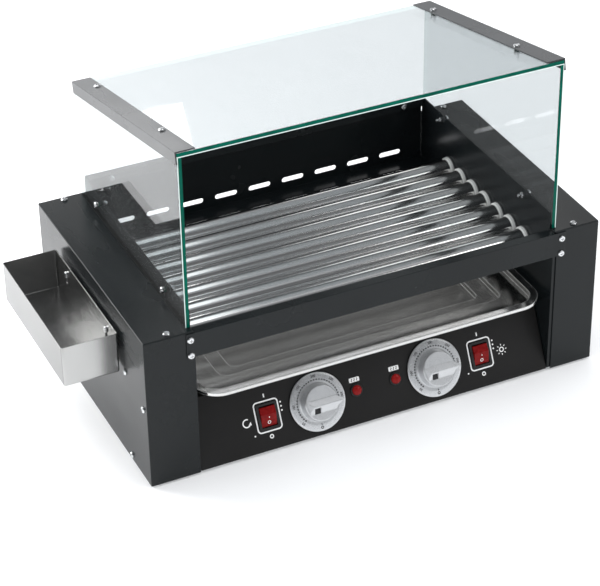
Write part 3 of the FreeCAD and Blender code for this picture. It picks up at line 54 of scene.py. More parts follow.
# ---- material graphs ----
class Graph:
    """One material's node tree, with short ways to add nodes and feed their inputs."""

    def __init__(self, name):
        self.material = bpy.data.materials.new(name)
        self.material.use_nodes = True
        self.tree = self.material.node_tree
        self.tree.nodes.clear()
        self.output = self.add("ShaderNodeOutputMaterial")
        self.place = self.add("ShaderNodeTexCoord").outputs["Object"]

    def add(self, kind, inputs=None, **settings):
        node = self.tree.nodes.new(kind)
        for key, value in settings.items():
            setattr(node, key, value)
        for name, value in (inputs or {}).items():
            self.feed(node.inputs[name], value)
        return node

    def feed(self, socket, value):
        if isinstance(value, bpy.types.Node):
            value = value.outputs[0]
        if isinstance(value, bpy.types.NodeSocket):
            self.tree.links.new(value, socket)
        elif isinstance(value, tuple) and len(value) == 3 and socket.type == "RGBA":
            socket.default_value = (*value, 1)
        else:
            socket.default_value = value

    def stretched(self, along):
        """Object coordinates scaled per axis, so that noise runs long where the scale is small."""
        return self.add("ShaderNodeVectorMath", {0: self.place, 1: along}, operation="MULTIPLY").outputs[0]

    def noise(self, scale, detail=3.0, where=None, roughness=0.55):
        """Soft random value from 0 to 1, at the object's own coordinates unless told where."""
        inputs = {"Scale": scale, "Detail": detail, "Roughness": roughness}
        inputs["Vector"] = self.place if where is None else where
        return self.add("ShaderNodeTexNoise", inputs).outputs["Fac"]

    def spread(self, value, low, high, from_low=0.3, from_high=0.7):
        """Bring a 0 to 1 value into the range low to high, easing over its middle part."""
        inputs = {"Value": value, "From Min": from_low, "From Max": from_high, "To Min": low, "To Max": high}
        return self.add("ShaderNodeMapRange", inputs).outputs["Result"]

    def math(self, operation, first, second=0.0):
        return self.add("ShaderNodeMath", {0: first, 1: second}, operation=operation).outputs[0]

    def blend(self, amount, first, second):
        """Colour between two colours."""
        mix = self.add("ShaderNodeMix", data_type="RGBA")
        self.feed(mix.inputs["Factor"], amount)
        for name, colour in (("A", first), ("B", second)):
            socket = [item for item in mix.inputs if item.name == name and item.type == "RGBA"][0]
            self.feed(socket, colour)
        return [item for item in mix.outputs if item.type == "RGBA"][0]

    def along(self, vector, direction):
        """How far a vector reaches along a direction."""
        product = self.add("ShaderNodeVectorMath", {0: vector, 1: direction}, operation="DOT_PRODUCT")
        return product.outputs["Value"]

    def bump(self, height, depth, strength=1.0, normal=None):
        """Normals of a relief of the given depth, laid over other normals if they are given."""
        inputs = {"Height": height, "Distance": depth, "Strength": strength}
        if normal is not None:
            inputs["Normal"] = normal
        return self.add("ShaderNodeBump", inputs).outputs["Normal"]

    def soft_edge(self, radius):
        """Normals that roll over at every edge, as if it had this radius."""
        return self.add("ShaderNodeBevel", {"Radius": radius}, samples=4).outputs["Normal"]

    def finish(self, **inputs):
        """Close the graph with a Principled shader, whose inputs are given in lower case."""
        shader = self.add("ShaderNodeBsdfPrincipled")
        for name, value in inputs.items():
            self.feed(shader.inputs[name.replace("_", " ").title().replace("Ior", "IOR")], value)
        self.tree.links.new(shader.outputs[0], self.output.inputs["Surface"])
        return self.material


def shade(colour, factor):
    """A colour made darker or lighter, kept within white."""
    return tuple(min(1.0, part * factor) for part in colour)


def powder_coat(name, colour, roughness=0.24, grain=0.9 * MM, relief=0.025 * MM, shine=0.25):
    """Baked powder coat: orange-peel grain, faint mottling and hand-wiped patches in the gloss."""
    graph = Graph(name)
    mottle = graph.noise(9, 4)
    wiped = graph.noise(14, 3, graph.stretched((1, 0.35, 1)))
    peel = graph.noise(1 / grain, 2)
    dust = graph.noise(1800, 1)
    tone = graph.blend(graph.spread(mottle, 0, 1), shade(colour, 0.86), shade(colour, 1.16))
    specks = graph.spread(dust, 0, 0.35, 0.72, 0.78)
    tone = graph.blend(specks, tone, shade(colour, 2.2))
    gloss = graph.spread(wiped, roughness - 0.04, roughness + 0.05)
    normal = graph.bump(peel, relief, 0.4, graph.soft_edge(1.0 * MM))
    return graph.finish(base_color=tone, roughness=gloss, normal=normal, specular_ior_level=shine)


STRAW = (0.62, 0.55, 0.48)


def brushed_steel(
    name, colour, lines, roughness=0.22, edge=0.3 * MM, tinted=0.0, painted_edge_highlight=0.0, painted_shade_below=None
):
    """Bright steel sheet with hair-fine lines; lines holds the noise's frequency along each axis.
    Tinted is how strongly it is stained straw in patches; the fold amount makes the folds matt, so that
    they show as painted highlight lines; below the given x the colour is darkened, a painted shade there."""
    graph = Graph(name)
    fine = graph.noise(1, 3, graph.stretched(lines), 0.6)
    cloud = graph.noise(13, 3)
    tone = graph.blend(graph.spread(fine, 0, 1), shade(colour, 0.95), shade(colour, 1.04))
    tone = graph.blend(graph.spread(cloud, 0, tinted, 0.45, 0.75), tone, STRAW)
    gloss = graph.math(
        "ADD", graph.spread(fine, -0.03, 0.03), graph.spread(cloud, roughness - 0.03, roughness + 0.04)
    )
    rounded = graph.soft_edge(edge)
    metal = 1.0
    # painted highlight: the folds lose their metal, so the unmirrored fill lamp shows them as light lines
    if painted_edge_highlight:
        flat = graph.add("ShaderNodeNewGeometry").outputs["True Normal"]
        metal = graph.spread(graph.along(rounded, flat), 1 - painted_edge_highlight, 1, 0.8, 0.99)
    # painted shade: whatever lies below the given x gets 0.35 of the colour
    if painted_shade_below is not None:
        painted_shade_side = graph.math("LESS_THAN", graph.along(graph.place, (1, 0, 0)), painted_shade_below)
        tone = graph.blend(painted_shade_side, tone, shade(colour, 0.35))
    normal = graph.bump(fine, 0.0015 * MM, 0.6, rounded)
    return graph.finish(base_color=tone, metallic=metal, roughness=gloss, normal=normal)


def galvanised(name, colour):
    """Zinc-dipped sheet: flat crystals of slightly different grey."""
    graph = Graph(name)
    cells = graph.add("ShaderNodeTexVoronoi", {"Vector": graph.place, "Scale": 160.0})
    flake = graph.add("ShaderNodeSeparateColor", {0: cells.outputs["Color"]}).outputs[0]
    fine = graph.noise(900, 2)
    tone = graph.blend(flake, shade(colour, 0.8), shade(colour, 1.15))
    gloss = graph.math("ADD", graph.spread(flake, 0.28, 0.5, 0, 1), graph.spread(fine, -0.04, 0.04))
    return graph.finish(base_color=tone, metallic=0.9, roughness=gloss, normal=graph.bump(fine, 0.01 * MM))


def moulded(name, colour, roughness=0.45, grain=0.5 * MM):
    """Moulded plastic or rubber: fine spark-eroded grain and a little variation of shade."""
    graph = Graph(name)
    texture = graph.noise(1 / grain, 3)
    cloud = graph.noise(40, 3)
    tone = graph.blend(graph.spread(cloud, 0, 1), shade(colour, 0.88), shade(colour, 1.1))
    gloss = graph.spread(texture, roughness - 0.05, roughness + 0.06)
    normal = graph.bump(texture, 0.03 * MM, 0.6, graph.soft_edge(0.35 * MM))
    return graph.finish(base_color=tone, roughness=gloss, normal=normal)


def satin_dial(name, colour):
    """Silver-sprayed dial: metal flake, soft sheen."""
    graph = Graph(name)
    flake = graph.noise(4200, 2)
    cloud = graph.noise(30, 2)
    tone = graph.blend(graph.spread(flake, 0, 1), shade(colour, 0.88), shade(colour, 1.12))
    gloss = graph.math("ADD", graph.spread(flake, 0.24, 0.36), graph.spread(cloud, -0.03, 0.03))
    normal = graph.bump(flake, 0.012 * MM, 0.7, graph.soft_edge(0.4 * MM))
    return graph.finish(base_color=tone, metallic=0.85, roughness=gloss, normal=normal)


def red_plastic(name, colour):
    """Translucent red: depth of colour changing with a slow swirl, polished skin, and a faint painted glow."""
    graph = Graph(name)
    swirl = graph.noise(260, 3)
    tone = graph.blend(graph.spread(swirl, 0, 1), shade(colour, 0.2), shade(colour, 0.34))
    normal = graph.bump(graph.noise(900, 2), 0.01 * MM, 0.5, graph.soft_edge(0.4 * MM))
    return graph.finish(
        base_color=tone, roughness=graph.spread(swirl, 0.12, 0.2), normal=normal, specular_ior_level=0.15,
        # painted glow: a weak emission of the red, standing in for light shining through the plastic
        emission_color=shade(colour, 0.9), emission_strength=0.04,
    )


HOT_STRAW = (0.66, 0.56, 0.44)


def drawn_steel_roller(name, colour):
    """Polished tube: hair-fine rings from the lathe and a faint straw colour where it runs hot."""
    graph = Graph(name)
    rings = graph.noise(1, 4, graph.stretched((5200, 90, 90)), 0.7)
    heat = graph.noise(1, 2, graph.stretched((9, 3, 3)))
    tone = graph.blend(graph.spread(rings, 0, 1), shade(colour, 0.95), shade(colour, 1.03))
    tone = graph.blend(graph.spread(heat, 0, 0.14, 0.45, 0.75), tone, HOT_STRAW)
    gloss = graph.math("ADD", graph.spread(rings, -0.02, 0.02), graph.spread(heat, 0.10, 0.14))
    return graph.finish(
        base_color=tone, metallic=1.0, roughness=gloss, normal=graph.bump(rings, 0.0012 * MM, 0.6)
    )


GLASS_INDEX = 1.5
GLASS_CLEAR = (0.79, 0.81, 0.815)
GLASS_EDGE = (0.0, 0.055, 0.036)
GLASS_EDGE_PAINTED_HIGHLIGHT = (0.75, 0.85, 0.82)
# the part of the pane's thickness whose cut edge gets a painted highlight colour
PAINTED_HIGHLIGHT_SHARE = 0.2


def pane_glass(name, across):
    """Clear pane: see-through faces that mirror and carry light wipe marks, and green cut edges with a faint
    painted glow and a painted highlight along one side; across points through the pane, away from that side."""
    graph = Graph(name)
    geometry = graph.add("ShaderNodeNewGeometry")
    normal = graph.add("ShaderNodeTexCoord").outputs["Normal"]
    facing = graph.along(normal, across)
    on_face = graph.math("GREATER_THAN", graph.math("ABSOLUTE", facing), 0.75)
    index = graph.spread(geometry.outputs["Backfacing"], GLASS_INDEX, 1 / GLASS_INDEX, 0, 1)
    mirror_share = graph.math("MULTIPLY", graph.add("ShaderNodeFresnel", {"IOR": index}), 0.8)
    wiped = graph.noise(22, 4, graph.stretched((1, 0.3, 0.5)))
    clear = graph.add("ShaderNodeBsdfTransparent", {"Color": GLASS_CLEAR})
    mirror = graph.add("ShaderNodeBsdfAnisotropic", {"Roughness": graph.spread(wiped, 0.0, 0.05)})
    face = graph.add("ShaderNodeMixShader", {0: mirror_share, 1: clear.outputs[0], 2: mirror.outputs[0]})
    film = graph.add("ShaderNodeBsdfDiffuse", {"Color": (0.85, 0.87, 0.87)})
    veil = graph.spread(wiped, 0.004, 0.02)
    face = graph.add("ShaderNodeMixShader", {0: veil, 1: face.outputs[0], 2: film.outputs[0]})
    streak = graph.noise(1, 3, graph.stretched((60, 60, 60)))
    tone = graph.blend(graph.spread(streak, 0, 1), GLASS_EDGE, shade(GLASS_EDGE, 1.9))
    depths = [Vector(across).dot(vertex.co) for vertex in nodes[name].data.vertices]
    depth = graph.spread(graph.along(graph.place, across), 0, 1, min(depths), max(depths))
    # painted highlight: one side of the cut edge's thickness is coloured pale
    tone = graph.blend(graph.math("LESS_THAN", depth, PAINTED_HIGHLIGHT_SHARE), tone, GLASS_EDGE_PAINTED_HIGHLIGHT)
    # painted glow: the cut edge emits its green, standing in for light carried along the glass
    cut = graph.add("ShaderNodeBsdfPrincipled", {
        "Base Color": tone, "Roughness": 0.16, "Specular IOR Level": 0.08,
        "Emission Color": shade(GLASS_EDGE, 1.2), "Emission Strength": 0.2,
    })
    seen_through = graph.add("ShaderNodeBsdfTransparent", {"Color": (0.80, 0.86, 0.85)})
    cut_edge = graph.add("ShaderNodeMixShader", {
        0: geometry.outputs["Backfacing"], 1: cut.outputs[0], 2: seen_through.outputs[0],
    })
    whole = graph.add("ShaderNodeMixShader", {0: on_face, 1: cut_edge.outputs[0], 2: face.outputs[0]})
    graph.tree.links.new(whole.outputs[0], graph.output.inputs["Surface"])
    return graph.material


def printed(name, colour, roughness=0.5):
    """Screen-printed ink: slightly uneven cover and a matt surface."""
    graph = Graph(name)
    uneven = graph.noise(1500, 3)
    tone = graph.blend(graph.spread(uneven, 0, 1), shade(colour, 0.86), colour)
    return graph.finish(base_color=tone, roughness=roughness, normal=graph.bump(uneven, 0.01 * MM, 0.4))


def roof_normal():
    """The top pane's own upward normal, from the largest face of its mesh."""
    largest = max(nodes["top_glass"].data.polygons, key=lambda face: face.area)
    return tuple(largest.normal * math.copysign(1, largest.normal.z))


BLUE_BLACK = (0.0072, 0.0092, 0.0100)
# how often the brushed lines repeat in a metre along x, y and z; they run along the lowest
SHEET_LINES = (5000, 60, 5000)
TRAY_LINES = (30, 3200, 3200)
SCREW_LINES = (900, 900, 900)
CHAIN_LINES = (600, 600, 600)
SHEATH_LINES = (900, 200, 200)


def finishes():
    """One material for each of the record's slots, and one each for the panes of glass and the box."""
    colour = {item["slot"]: tuple(item["base_color"][:3]) for item in frame["record"]["materials"]}
    sheet_steel = shade(colour["stainless"], 0.66)
    by_slot = {
        "black_coat": powder_coat("black_powder_coat", BLUE_BLACK),
        "panel_coat": powder_coat(
            "panel_coat", shade(colour["panel_coat"], 0.25), roughness=0.42, grain=0.6 * MM, relief=0.012 * MM
        ),
        "dark_bar": powder_coat(
            "bar_coat", shade(colour["dark_bar"], 0.42),
            roughness=0.26, grain=0.5 * MM, relief=0.01 * MM, shine=0.28,
        ),
        "motor_paint": powder_coat("motor_enamel", colour["motor_paint"], roughness=0.45),
        "galvanised": galvanised("galvanised_sheet", colour["galvanised"]),
        "stainless": brushed_steel("brushed_stainless", sheet_steel, SHEET_LINES),
        "roller_steel": drawn_steel_roller("polished_roller", colour["roller_steel"]),
        # the tray's folds carry a painted highlight: they are made matt so that they show as light lines
        "tray_steel": brushed_steel(
            "tray_stainless", colour["tray_steel"], TRAY_LINES,
            roughness=0.12, edge=1.8 * MM, tinted=0.1, painted_edge_highlight=0.6,
        ),
        "zinc_screw": brushed_steel("bright_zinc", colour["zinc_screw"], SCREW_LINES, roughness=0.2),
        "chain_steel": brushed_steel("oiled_chain_steel", colour["chain_steel"], CHAIN_LINES, roughness=0.35),
        "element_sheath": brushed_steel(
            "heat_tinted_sheath", colour["element_sheath"], SHEATH_LINES, roughness=0.4, tinted=0.6
        ),
        "rubber": moulded("black_rubber", colour["rubber"], roughness=0.62, grain=0.8 * MM),
        "black_plastic": moulded("black_plastic", shade(colour["black_plastic"], 0.4), roughness=0.4),
        "white_bush": moulded(
            "white_bush", shade(colour["white_bush"], 0.75), roughness=0.4, grain=0.6 * MM
        ),
        "dark_washer": moulded("dark_washer", colour["dark_washer"], roughness=0.5),
        "lamp_cover": moulded("frosted_lamp_cover", colour["lamp_cover"], roughness=0.35, grain=1.2 * MM),
        "ceramic_block": moulded("terminal_ceramic", colour["ceramic_block"], roughness=0.35),
        "wire_cover": moulded("wire_sleeve", colour["wire_cover"], roughness=0.5),
        "knob_silver": satin_dial("silver_dial", shade(colour["knob_silver"], 1.12)),
        "red_rocker": red_plastic("red_rocker", colour["red_rocker"]),
        "red_lens": red_plastic("red_lens", colour["red_lens"]),
    }
    through = {"left_glass": (1, 0, 0), "right_glass": (-1, 0, 0), "top_glass": roof_normal()}
    by_node = {name: pane_glass(name, across) for name, across in through.items()}
    # the box's left outer face gets a painted shade, a darker colour than its other faces
    outer_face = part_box("condiment_box")[0].x
    by_node["condiment_box"] = brushed_steel(
        "box_stainless", sheet_steel, SHEET_LINES, painted_shade_below=outer_face + 0.3 * MM
    )
    return by_slot, by_node


def dress(node, material):
    """Give a CAD node its material through the object's own slots."""
    if not node.material_slots:
        node.data.materials.append(None)
    for slot in node.material_slots:
        slot.link = "OBJECT"
        slot.material = material


by_slot, by_node = finishes()
for part in frame["record"]["subparts"]:
    dress(nodes[part["node"]], by_node.get(part["node"]) or by_slot[part["material_slot"]])


# ---- soft edges on the CAD pieces ----
SOFT_EDGES = {
    0.35 * MM: ["left_knob", "right_knob", "gear_motor", "plug", "terminal_block"],
    0.25 * MM: ["condiment_box", "switch_housings", "turn_switch_rocker", "light_switch_rocker"],
}


def soften(node, width):
    """Join the split vertices, then roll every sharp edge over by a fraction of a millimetre."""
    weld = node.modifiers.new("weld", "WELD")
    weld.merge_threshold = 0.002 * MM
    bevel = node.modifiers.new("soft_edge", "BEVEL")
    bevel.width = width
    bevel.segments = 2
    bevel.limit_method = "ANGLE"
    bevel.angle_limit = math.radians(35)
    bevel.harden_normals = True
    bevel.use_clamp_overlap = False


for width, names in SOFT_EDGES.items():
    for name in names:
        soften(nodes[name], width)


# ---- printing laid on a surface ----
def plane_at(origin, normal):
    """A matrix at an origin on a surface, whose local x is the world's X and whose z points out of it."""
    z = Vector(normal).normalized()
    x = Vector((1, 0, 0))
    y = z.cross(x)
    matrix = Matrix((x, y, z)).transposed().to_4x4()
    matrix.translation = Vector(origin)
    return matrix


# how far marks stand out, and how far black marks that lie over white ones do
INK_THICK = 0.07 * MM
TOP_INK_THICK = 0.11 * MM
# how far marks reach into their surface, and how far above it they are dropped from
INK_SUNK = 0.02 * MM
INK_REACH = 60 * MM


class Ink:
    """Flat marks drawn in millimetres on a plane, then laid on a CAD node's surface as thin relief."""

    def __init__(self):
        self.mesh = bmesh.new()

    def patch(self, points):
        """One flat face."""
        self.mesh.faces.new([self.mesh.verts.new((x * MM, y * MM, 0)) for x, y in points])

    def dot(self, x, y, radius, sides=20):
        """A filled round mark."""
        self.patch([
            (x + radius * math.cos(turn), y + radius * math.sin(turn))
            for turn in (2 * math.pi * step / sides for step in range(sides))
        ])

    def line(self, points, width, closed=False):
        """A ribbon of even width through the points, mitred at each bend."""
        count = len(points)
        sides = []
        for index, (x, y) in enumerate(points):
            before = points[index - 1] if index or closed else points[index]
            after = points[(index + 1) % count] if index < count - 1 or closed else points[index]
            along = Vector((after[0] - before[0], after[1] - before[1])).normalized()
            over = Vector((-along.y, along.x)) * width / 2
            sides.append(tuple(
                self.mesh.verts.new(((x + over.x * sign) * MM, (y + over.y * sign) * MM, 0))
                for sign in (1, -1)
            ))
        for index in range(count if closed else count - 1):
            first, second = sides[index], sides[(index + 1) % count]
            self.mesh.faces.new((first[0], first[1], second[1], second[0]))

    def arc(self, x, y, radius, start, end, width, steps=24):
        """Part of a ring, from one angle to another in degrees."""
        turns = [math.radians(start + (end - start) * step / steps) for step in range(steps + 1)]
        self.line([(x + radius * math.cos(turn), y + radius * math.sin(turn)) for turn in turns], width)

    def ring(self, x, y, radius, width, steps=32):
        """A whole ring."""
        turns = [2 * math.pi * step / steps for step in range(steps)]
        points = [(x + radius * math.cos(turn), y + radius * math.sin(turn)) for turn in turns]
        self.line(points, width, closed=True)

    def figure(self, words, x, y, height, turn):
        """A number, centred at a point and turned, in Blender's own plain font."""
        curve = bpy.data.curves.new("figure", "FONT")
        curve.body = words
        curve.size = height * MM / 0.7
        curve.offset = 0.1 * MM
        curve.align_x = "CENTER"
        curve.align_y = "CENTER"
        curve.resolution_u = 3
        thing = bpy.data.objects.new("figure", curve)
        bpy.context.scene.collection.objects.link(thing)
        bpy.context.view_layer.update()
        flat = thing.to_mesh()
        turned = Matrix.Rotation(math.radians(turn), 4, "Z")
        flat.transform(Matrix.Translation((x * MM, y * MM, 0)) @ turned)
        self.mesh.from_mesh(flat)
        thing.to_mesh_clear()
        bpy.data.objects.remove(thing)
        bpy.data.curves.remove(curve)

    def lay(self, name, node, plane, material, body, thick=INK_THICK):
        """Drop the marks along the plane's normal on to the node, and give them their thickness."""
        surface = BVHTree.FromPolygons(
            [vertex.co for vertex in nodes[node].data.vertices],
            [polygon.vertices for polygon in nodes[node].data.polygons],
        )
        down = -plane.to_3x3().col[2]
        bmesh.ops.remove_doubles(self.mesh, verts=self.mesh.verts, dist=0.001 * MM)
        for vertex in self.mesh.verts:
            start = plane @ Vector((vertex.co.x, vertex.co.y, INK_REACH))
            hit, _, _, _ = surface.ray_cast(start, down)
            vertex.co.z = INK_REACH - (hit - start).length - INK_SUNK
        for vertex in self.mesh.verts:
            vertex.co = plane @ vertex.co
        grown = bmesh.ops.extrude_face_region(self.mesh, geom=list(self.mesh.faces))
        for item in grown["geom"]:
            if isinstance(item, bmesh.types.BMVert):
                item.co -= down * (thick + INK_SUNK)
        bmesh.ops.recalc_face_normals(self.mesh, faces=self.mesh.faces)
        data = bpy.data.meshes.new(name)
        self.mesh.to_mesh(data)
        self.mesh.free()
        piece = bpy.data.objects.new(name, data)
        bpy.context.scene.collection.objects.link(piece)
        data.materials.append(material)
        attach(piece, body)


white_ink = printed("white_ink", (0.86, 0.86, 0.85))
black_ink = printed("black_ink", (0.02, 0.02, 0.022))
knob_places = {side: joints[f"{side}_knob_turn"] for side in ("left", "right")}
panel_normal = Vector(knob_places["left"]["axis"]).normalized()
panel_middle = (Vector(knob_places["left"]["pos_m"]) + Vector(knob_places["right"]["pos_m"])) / 2


# the dial: angles in degrees from the right, anticlockwise; lengths in millimetres from its middle
FIGURES = (50, 100, 150, 200, 250, 300)
FIRST_FIGURE_AT = 222
FIGURE_GAP = 44
FIGURE_RING = 30.9
FIGURE_HEIGHT = 2.9
DOTS_A_GAP = 6
DOT_RING = 26.6
DOT_RADIUS = 1.05
OFF_AT = 268
OFF_RING = 29.5
WINDOW = ((-11.5, -11.3), (-3.9, -11.3), (-3.9, -4.1), (-11.5, -4.1))


def mark_dial(side):
    """Dots and temperature figures round the skirt, an off mark below, a dark window in the grip."""
    plane = plane_at(knob_places[side]["pos_m"], panel_normal)
    ink = Ink()
    for step in range((len(FIGURES) - 1) * DOTS_A_GAP + 1):
        turn = math.radians(FIRST_FIGURE_AT - step * FIGURE_GAP / DOTS_A_GAP)
        ink.dot(DOT_RING * math.cos(turn), DOT_RING * math.sin(turn), DOT_RADIUS, sides=12)
    for index, number in enumerate(FIGURES):
        degrees = FIRST_FIGURE_AT - index * FIGURE_GAP
        x = FIGURE_RING * math.cos(math.radians(degrees))
        y = FIGURE_RING * math.sin(math.radians(degrees))
        ink.figure(str(number), x, y, FIGURE_HEIGHT, turn=degrees - 90)
    off_x = OFF_RING * math.cos(math.radians(OFF_AT))
    off_y = OFF_RING * math.sin(math.radians(OFF_AT))
    ink.ring(off_x, off_y - 1.2, radius=1.4, width=1.0)
    ink.line([(off_x, off_y + 1.6), (off_x, off_y + 4.0)], width=1.1)
    ink.lay(f"{side}_dial_marks", f"{side}_knob", plane, black_ink, f"{side}_knob")
    window = Ink()
    window.patch(WINDOW)
    window.lay(f"{side}_dial_window", f"{side}_knob", plane, black_ink, f"{side}_knob")


def rounded_outline(half_x, half_y, radius, steps=6):
    """Points round a rectangle with round corners, anticlockwise from the right."""
    points = []
    for quarter, (side_x, side_y) in enumerate(((1, 1), (-1, 1), (-1, -1), (1, -1))):
        for step in range(steps + 1):
            turn = math.radians(90 * quarter + 90 * step / steps)
            points.append((
                side_x * (half_x - radius) + radius * math.cos(turn),
                side_y * (half_y - radius) + radius * math.sin(turn),
            ))
    return points


def turning_sign(ink, x, y):
    """Most of a ring with an arrow head at its lower right end."""
    radius, end = 4.6, 330
    ink.arc(x, y, radius, start=60, end=end, width=1.5)
    end_x = x + radius * math.cos(math.radians(end))
    end_y = y + radius * math.sin(math.radians(end))
    ink.patch([(end_x - 2.2, end_y - 0.6), (end_x + 1.9, end_y - 1.1), (end_x + 0.9, end_y + 3.0)])


def lamp_sign(ink, x, y):
    """A small ring with eight rays."""
    ink.ring(x, y, radius=2.6, width=1.3)
    rays, inner, outer = 8, 4.8, 6.8
    for ray in range(rays):
        turn = 2 * math.pi * ray / rays
        ends = [(x + reach * math.cos(turn), y + reach * math.sin(turn)) for reach in (inner, outer)]
        ink.line(ends, width=1.0)


def mark_switches():
    """White outline, on and off marks and dots round each switch; a turning sign and a lamp sign."""
    plane = plane_at(panel_middle, panel_normal)
    for name in ("turn", "light"):
        low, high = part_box(f"{name}_switch_rocker")
        x = ((low.x + high.x) / 2 - panel_middle.x) / MM
        ink = Ink()
        outline = rounded_outline(half_x=15, half_y=18, radius=4)
        ink.line([(x + px, py) for px, py in outline], width=1.7, closed=True)
        ink.line([(x, 22.2), (x, 26.6)], width=1.6)
        ink.ring(x, -24.6, radius=2.0, width=1.3)
        for level in (12, 7, 2):
            ink.dot(x + 18.6, level, radius=1.1)
        ink.dot(x - 20.0, -19.5, radius=1.0)
        if name == "turn":
            turning_sign(ink, x - 27, -2)
        else:
            lamp_sign(ink, x + 29, -2)
        ink.lay(f"{name}_switch_print", "control_panel", plane, white_ink, "case")


def mark_lamps():
    """A white tag with a warmth sign above each lamp."""
    plane = plane_at(panel_middle, panel_normal)
    low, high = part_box("lamp_lenses")
    lens_radius = (high.z - low.z) / 2
    spread = (high.x - low.x) / 2 - lens_radius
    tag_level = 12.6
    for side, name in ((-1, "left"), (1, "right")):
        x = side * spread / MM
        tag = Ink()
        outline = rounded_outline(half_x=6.6, half_y=2.7, radius=1.0, steps=4)
        tag.patch([(x + px, tag_level + py) for px, py in outline])
        tag.lay(f"{name}_lamp_tag", "control_panel", plane, white_ink, "case")
        sign = Ink()
        for offset in (-3.4, 0, 3.4):
            rises = [step * 0.35 - 1.75 for step in range(11)]
            wave = [(x + offset + 0.7 * math.sin(rise * 2.2), tag_level + rise) for rise in rises]
            sign.line(wave, width=0.75)
        sign.lay(f"{name}_lamp_sign", "control_panel", plane, black_ink, "case", TOP_INK_THICK)


def mark_rockers():
    """The line and ring moulded white on each rocker's lower face."""
    for name in ("turn", "light"):
        rocker = f"{name}_switch_rocker"
        low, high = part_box(rocker)
        plane = plane_at((low + high) / 2, panel_normal)
        ink = Ink()
        ink.line([(0.4, -0.4), (0.4, -2.2)], width=0.8)
        ink.ring(0, -7.4, radius=1.7, width=0.75)
        ink.lay(f"{name}_rocker_marks", rocker, plane, white_ink, f"{name}_rocker")


for side in ("left", "right"):
    mark_dial(side)
mark_switches()
mark_lamps()
mark_rockers()


# ---- studio ----
def add_floor():
    """A plain pale table under the feet, that glows a little so its shadows stay pale."""
    data = bpy.data.meshes.new("floor")
    far = 12.0
    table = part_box("rubber_feet")[0].z
    corners = [(-far, -far, table), (far, -far, table), (far, far, table), (-far, far, table)]
    data.from_pydata(corners, [], [(0, 1, 2, 3)])
    floor = bpy.data.objects.new("floor", data)
    bpy.context.scene.collection.objects.link(floor)
    graph = Graph("pale_floor")
    cloud = graph.noise(3, 2)
    tone = graph.blend(graph.spread(cloud, 0, 1), (0.90, 0.90, 0.90), (0.92, 0.92, 0.92))
    data.materials.append(graph.finish(
        base_color=tone, roughness=0.9, emission_color=(1.0, 1.0, 1.0), emission_strength=0.12
    ))


def add_card(name, place, aim, size, brightness, mirrored=True):
    """A soft light panel of even brightness, where the pale floor's brightness is about 1; one that
    isn't mirrored lights matt surfaces only."""
    data = bpy.data.lights.new(name, "AREA")
    data.shape = "RECTANGLE"
    data.size, data.size_y = size
    data.energy = brightness * math.pi * size[0] * size[1]
    light = bpy.data.objects.new(name, data)
    light.visible_glossy = mirrored
    light.location = place
    light.rotation_euler = (Vector(aim) - Vector(place)).to_track_quat("-Z", "Y").to_euler()
    bpy.context.scene.collection.objects.link(light)


# what shiny surfaces mirror at each height above the horizon (sine of elevation, brightness)
MIRRORED_SKY = ((0.0, 0.95), (0.13, 0.8), (0.3, 0.2), (0.72, 0.12), (0.9, 0.5))
SKY_STRENGTH = 1.08


def add_world():
    """Even pale light all round; shiny surfaces mirror a pale horizon under a dim ceiling."""
    world = bpy.data.worlds.new("studio")
    bpy.context.scene.world = world
    world.use_nodes = True
    tree = world.node_tree
    background = tree.nodes["Background"]
    background.inputs["Color"].default_value = (0.95, 0.97, 1.0, 1)
    direction = tree.nodes.new("ShaderNodeTexCoord")
    height = tree.nodes.new("ShaderNodeSeparateXYZ")
    tree.links.new(direction.outputs["Generated"], height.inputs[0])
    sky = tree.nodes.new("ShaderNodeValToRGB")
    tree.links.new(height.outputs["Z"], sky.inputs["Fac"])
    for index, (level, brightness) in enumerate(MIRRORED_SKY):
        stop = sky.color_ramp.elements[index] if index < 2 else sky.color_ramp.elements.new(level)
        stop.position = level
        stop.color = (brightness, brightness, brightness, 1)
    ray = tree.nodes.new("ShaderNodeLightPath")
    strength = tree.nodes.new("ShaderNodeMix")
    tree.links.new(ray.outputs["Is Glossy Ray"], strength.inputs["Factor"])
    strength.inputs["A"].default_value = SKY_STRENGTH
    tree.links.new(sky.outputs["Color"], strength.inputs["B"])
    tree.links.new(strength.outputs["Result"], background.inputs["Strength"])


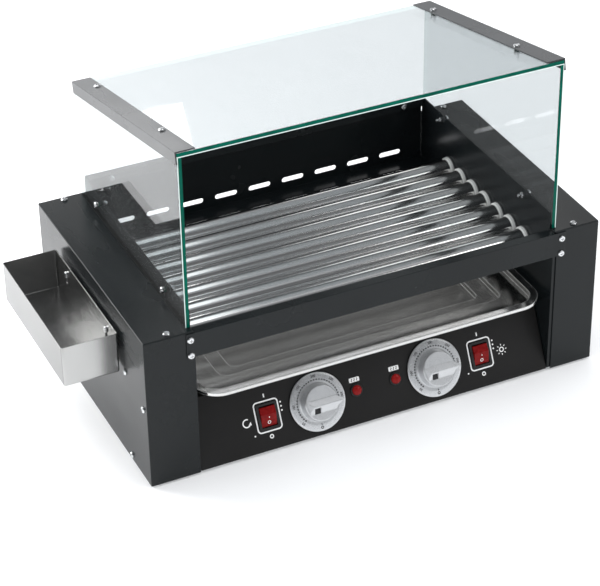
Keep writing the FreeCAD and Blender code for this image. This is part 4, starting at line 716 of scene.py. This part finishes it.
CAMERA_PLACE = (-0.9824, -2.0795, 1.5876)
CAMERA_AZIMUTH = math.radians(-25.35)
CAMERA_ELEVATION = math.radians(33.15)
CAMERA_ROLL = math.radians(-0.69)


def add_camera():
    """The view: from the front left, looking down, through a long lens."""
    data = bpy.data.cameras.new("camera")
    data.sensor_width = 36
    data.lens = 135.4
    data.shift_x = -0.0318
    data.shift_y = -0.0068
    camera = bpy.data.objects.new("camera", data)
    level = math.cos(CAMERA_ELEVATION)
    back = Vector((
        math.sin(CAMERA_AZIMUTH) * level, -math.cos(CAMERA_AZIMUTH) * level, math.sin(CAMERA_ELEVATION)
    ))
    right = Vector((0, 0, 1)).cross(back).normalized()
    up = back.cross(right)
    rolled_right = right * math.cos(CAMERA_ROLL) + up * math.sin(CAMERA_ROLL)
    rolled_up = up * math.cos(CAMERA_ROLL) - right * math.sin(CAMERA_ROLL)
    camera.matrix_world = Matrix((rolled_right, rolled_up, back)).transposed().to_4x4()
    camera.location = CAMERA_PLACE
    bpy.context.scene.collection.objects.link(camera)
    bpy.context.scene.camera = camera


# each card: its name, its place, the point it faces, its size and its brightness
add_floor()
add_world()
add_card("overhead", (0.1, 0.0, 2.4), (0, 0, 0.1), (1.6, 1.0), 1.9)
add_card("right_front", (1.5, -1.3, 1.6), (0, 0, 0.1), (0.9, 0.9), 3.0)
add_card("left_behind", (-1.1, 1.1, 0.62), (-0.29, 0, 0.2), (0.9, 0.5), 4.5)
add_card("left_low", (-0.75, 0.45, 0.55), (-0.5, 0.3, 0), (0.5, 0.9), 4.2)
add_card("behind", (0.05, 1.5, 0.72), (-0.1, 0, 0.4), (0.6, 0.35), 3.2)
add_card("right_behind", (0.9, 1.15, 1.05), (0.25, 0, 0.2), (0.6, 0.6), 1.2)
add_card("tray_sheen", (0, -0.02, 0.128), (0, -0.02, 0), (0.43, 0.17), 0.07)
add_card("tray_fill", (0, -0.03, 0.127), (0, -0.03, 0), (0.42, 0.16), 0.9, mirrored=False)
add_camera()
bpy.context.scene.view_settings.view_transform = "Standard"
